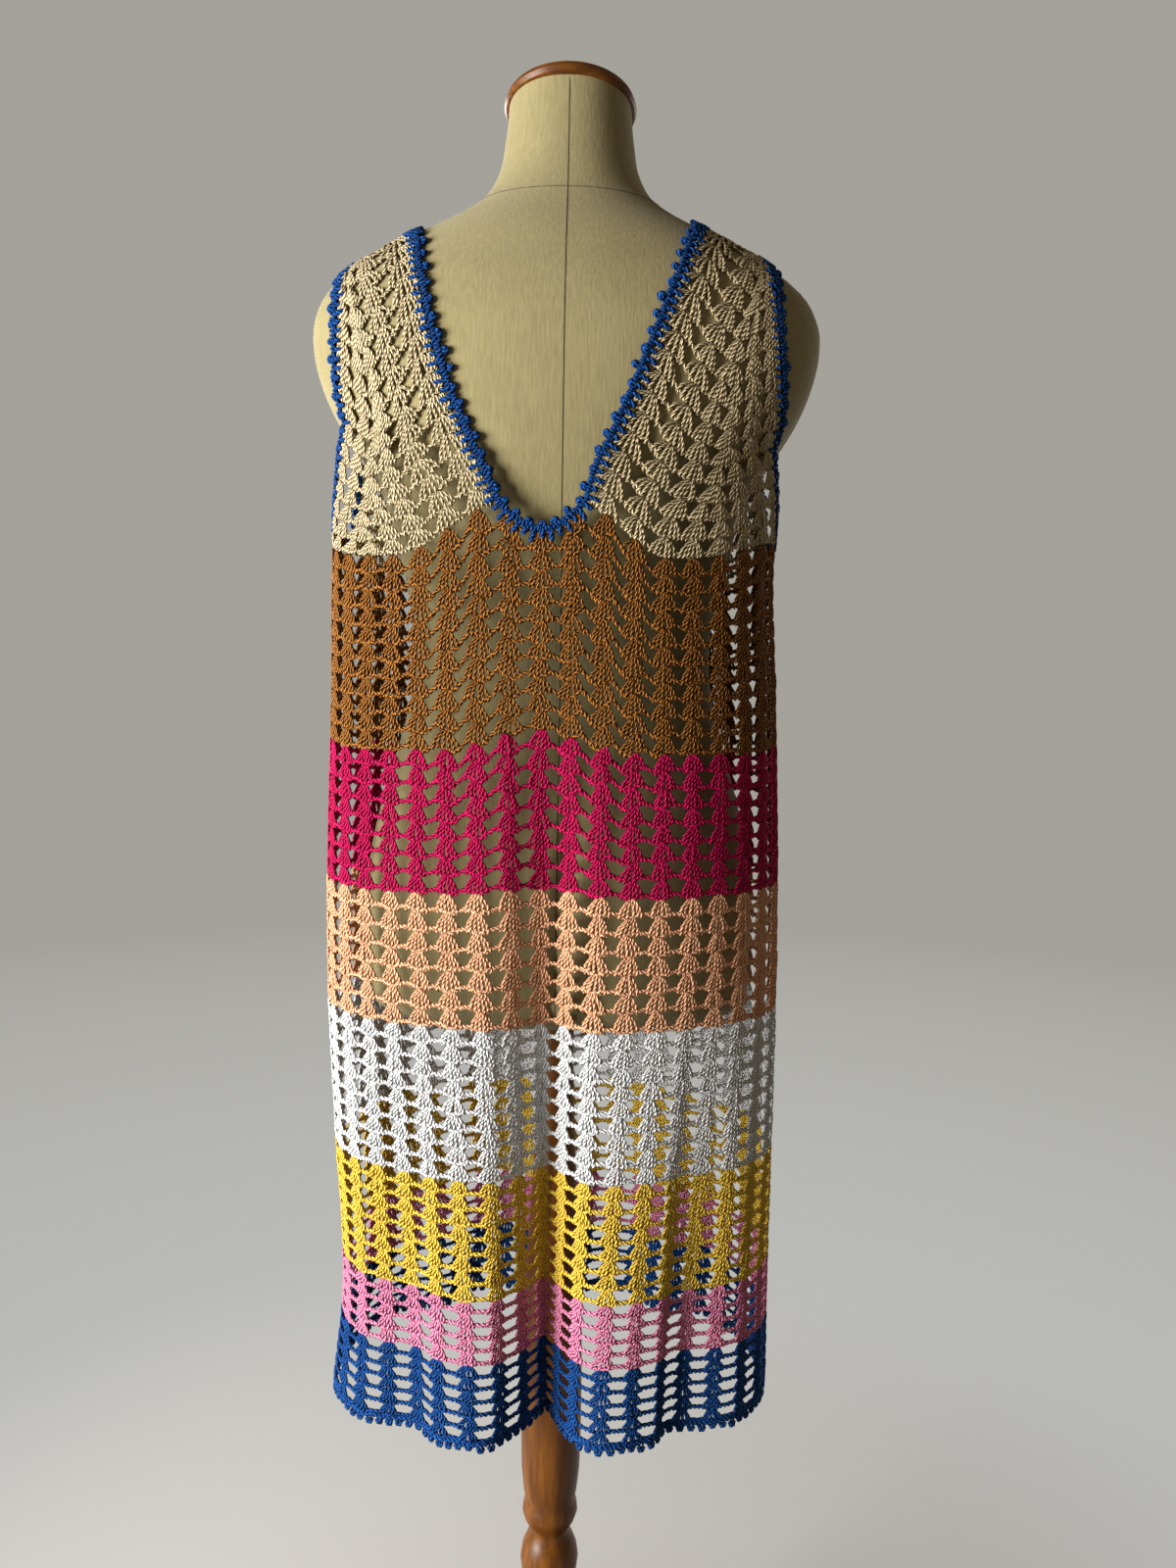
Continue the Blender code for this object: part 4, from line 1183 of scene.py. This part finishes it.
print("room")
makeRoom()
makeCamera()
bpy.context.scene.view_settings.view_transform = "Standard"
addLight("window", (2.30, 1.30, 1.00), (0, 0, 0.80), 1.6, 185, (1.0, 0.985, 0.95))
addLight("front_fill", (1.4, -2.2, 1.6), (0, 0, 0.8), 1.8, 60)
addLight("side_fill", (-1.7, -1.9, 1.4), (0, 0, 0.8), 1.8, 14)

print("form and stand")
fabric = makeFormFabric("form_cover_fabric", (0.235, 0.195, 0.085), (0.335, 0.280, 0.130))
seamFabric = makeFormFabric("form_seam_fabric", (0.070, 0.052, 0.022), (0.115, 0.088, 0.040))
uprightWood = makeWood("upright_wood_varnished", (1.0, 1.0, 0.06))
levelWood = makeWood("level_wood_varnished", (0.06, 1.0, 1.0))
makeTorso(fabric)
makeSeams(seamFabric)
up = Vector((0, -math.sin(form["neckTilt"]), math.cos(form["neckTilt"])))
turnPiece("stand_base", baseProfile, levelWood, "stand_base")
turnPiece("stand_pole", poleProfile, uprightWood, "stand_pole")
turnPiece("neck_cap", capProfile, levelWood, "neck_cap", form["neckTilt"],
          Vector(form["neckCut"]) + up * form["partGap"])

materials = {name: makeYarn(name) for name in yarns}
for index, band in enumerate(bands):
    print("band", band.name)
    makeBand(index, materials[band.name])

print("yoke")
panels = {(back, left): Panel(back, left) for back in (True, False) for left in (True, False)}
for panel in panels.values():
    makePanel(panel, materials["cream"])


def edgePoints(places):
    return layOn(yokeReach, places[:, 0], places[:, 1], 0.0)[0]


def bandPoints(first, last):
    return edgePoints(columnPlace(np.linspace(first, last, 9)[1:-1]))


print("edging")
quarter, half = quarterRound, halfRound
reachNeck, reachArm = yoke["neckStart"], quarter - yoke["armStart"]
neckLoop = np.vstack([
    edgePoints(panels[True, True].neck),
    edgePoints(panels[False, True].neck[::-1][1:]),
    bandPoints(half - reachNeck, half + reachNeck),
    edgePoints(panels[False, False].neck),
    edgePoints(panels[True, False].neck[::-1][1:]),
    bandPoints(-reachNeck, reachNeck),
])
makeEdging("neck_edging", neckLoop, np.array([0, 0, 1.34]), materials["blue"])
for left in (True, False):
    middle = quarter if left else -quarter
    turn = 1 if left else -1
    armLoop = np.vstack([
        edgePoints(panels[True, left].arm),
        edgePoints(panels[False, left].arm[::-1][1:]),
        bandPoints(middle + turn * reachArm, middle - turn * reachArm),
    ])
    name = "armhole_edging_" + ("left" if left else "right")
    makeEdging(name, armLoop, np.array([0.19 * turn, 0, 1.25]), materials["blue"])
makeHemEdging(materials["blue"])
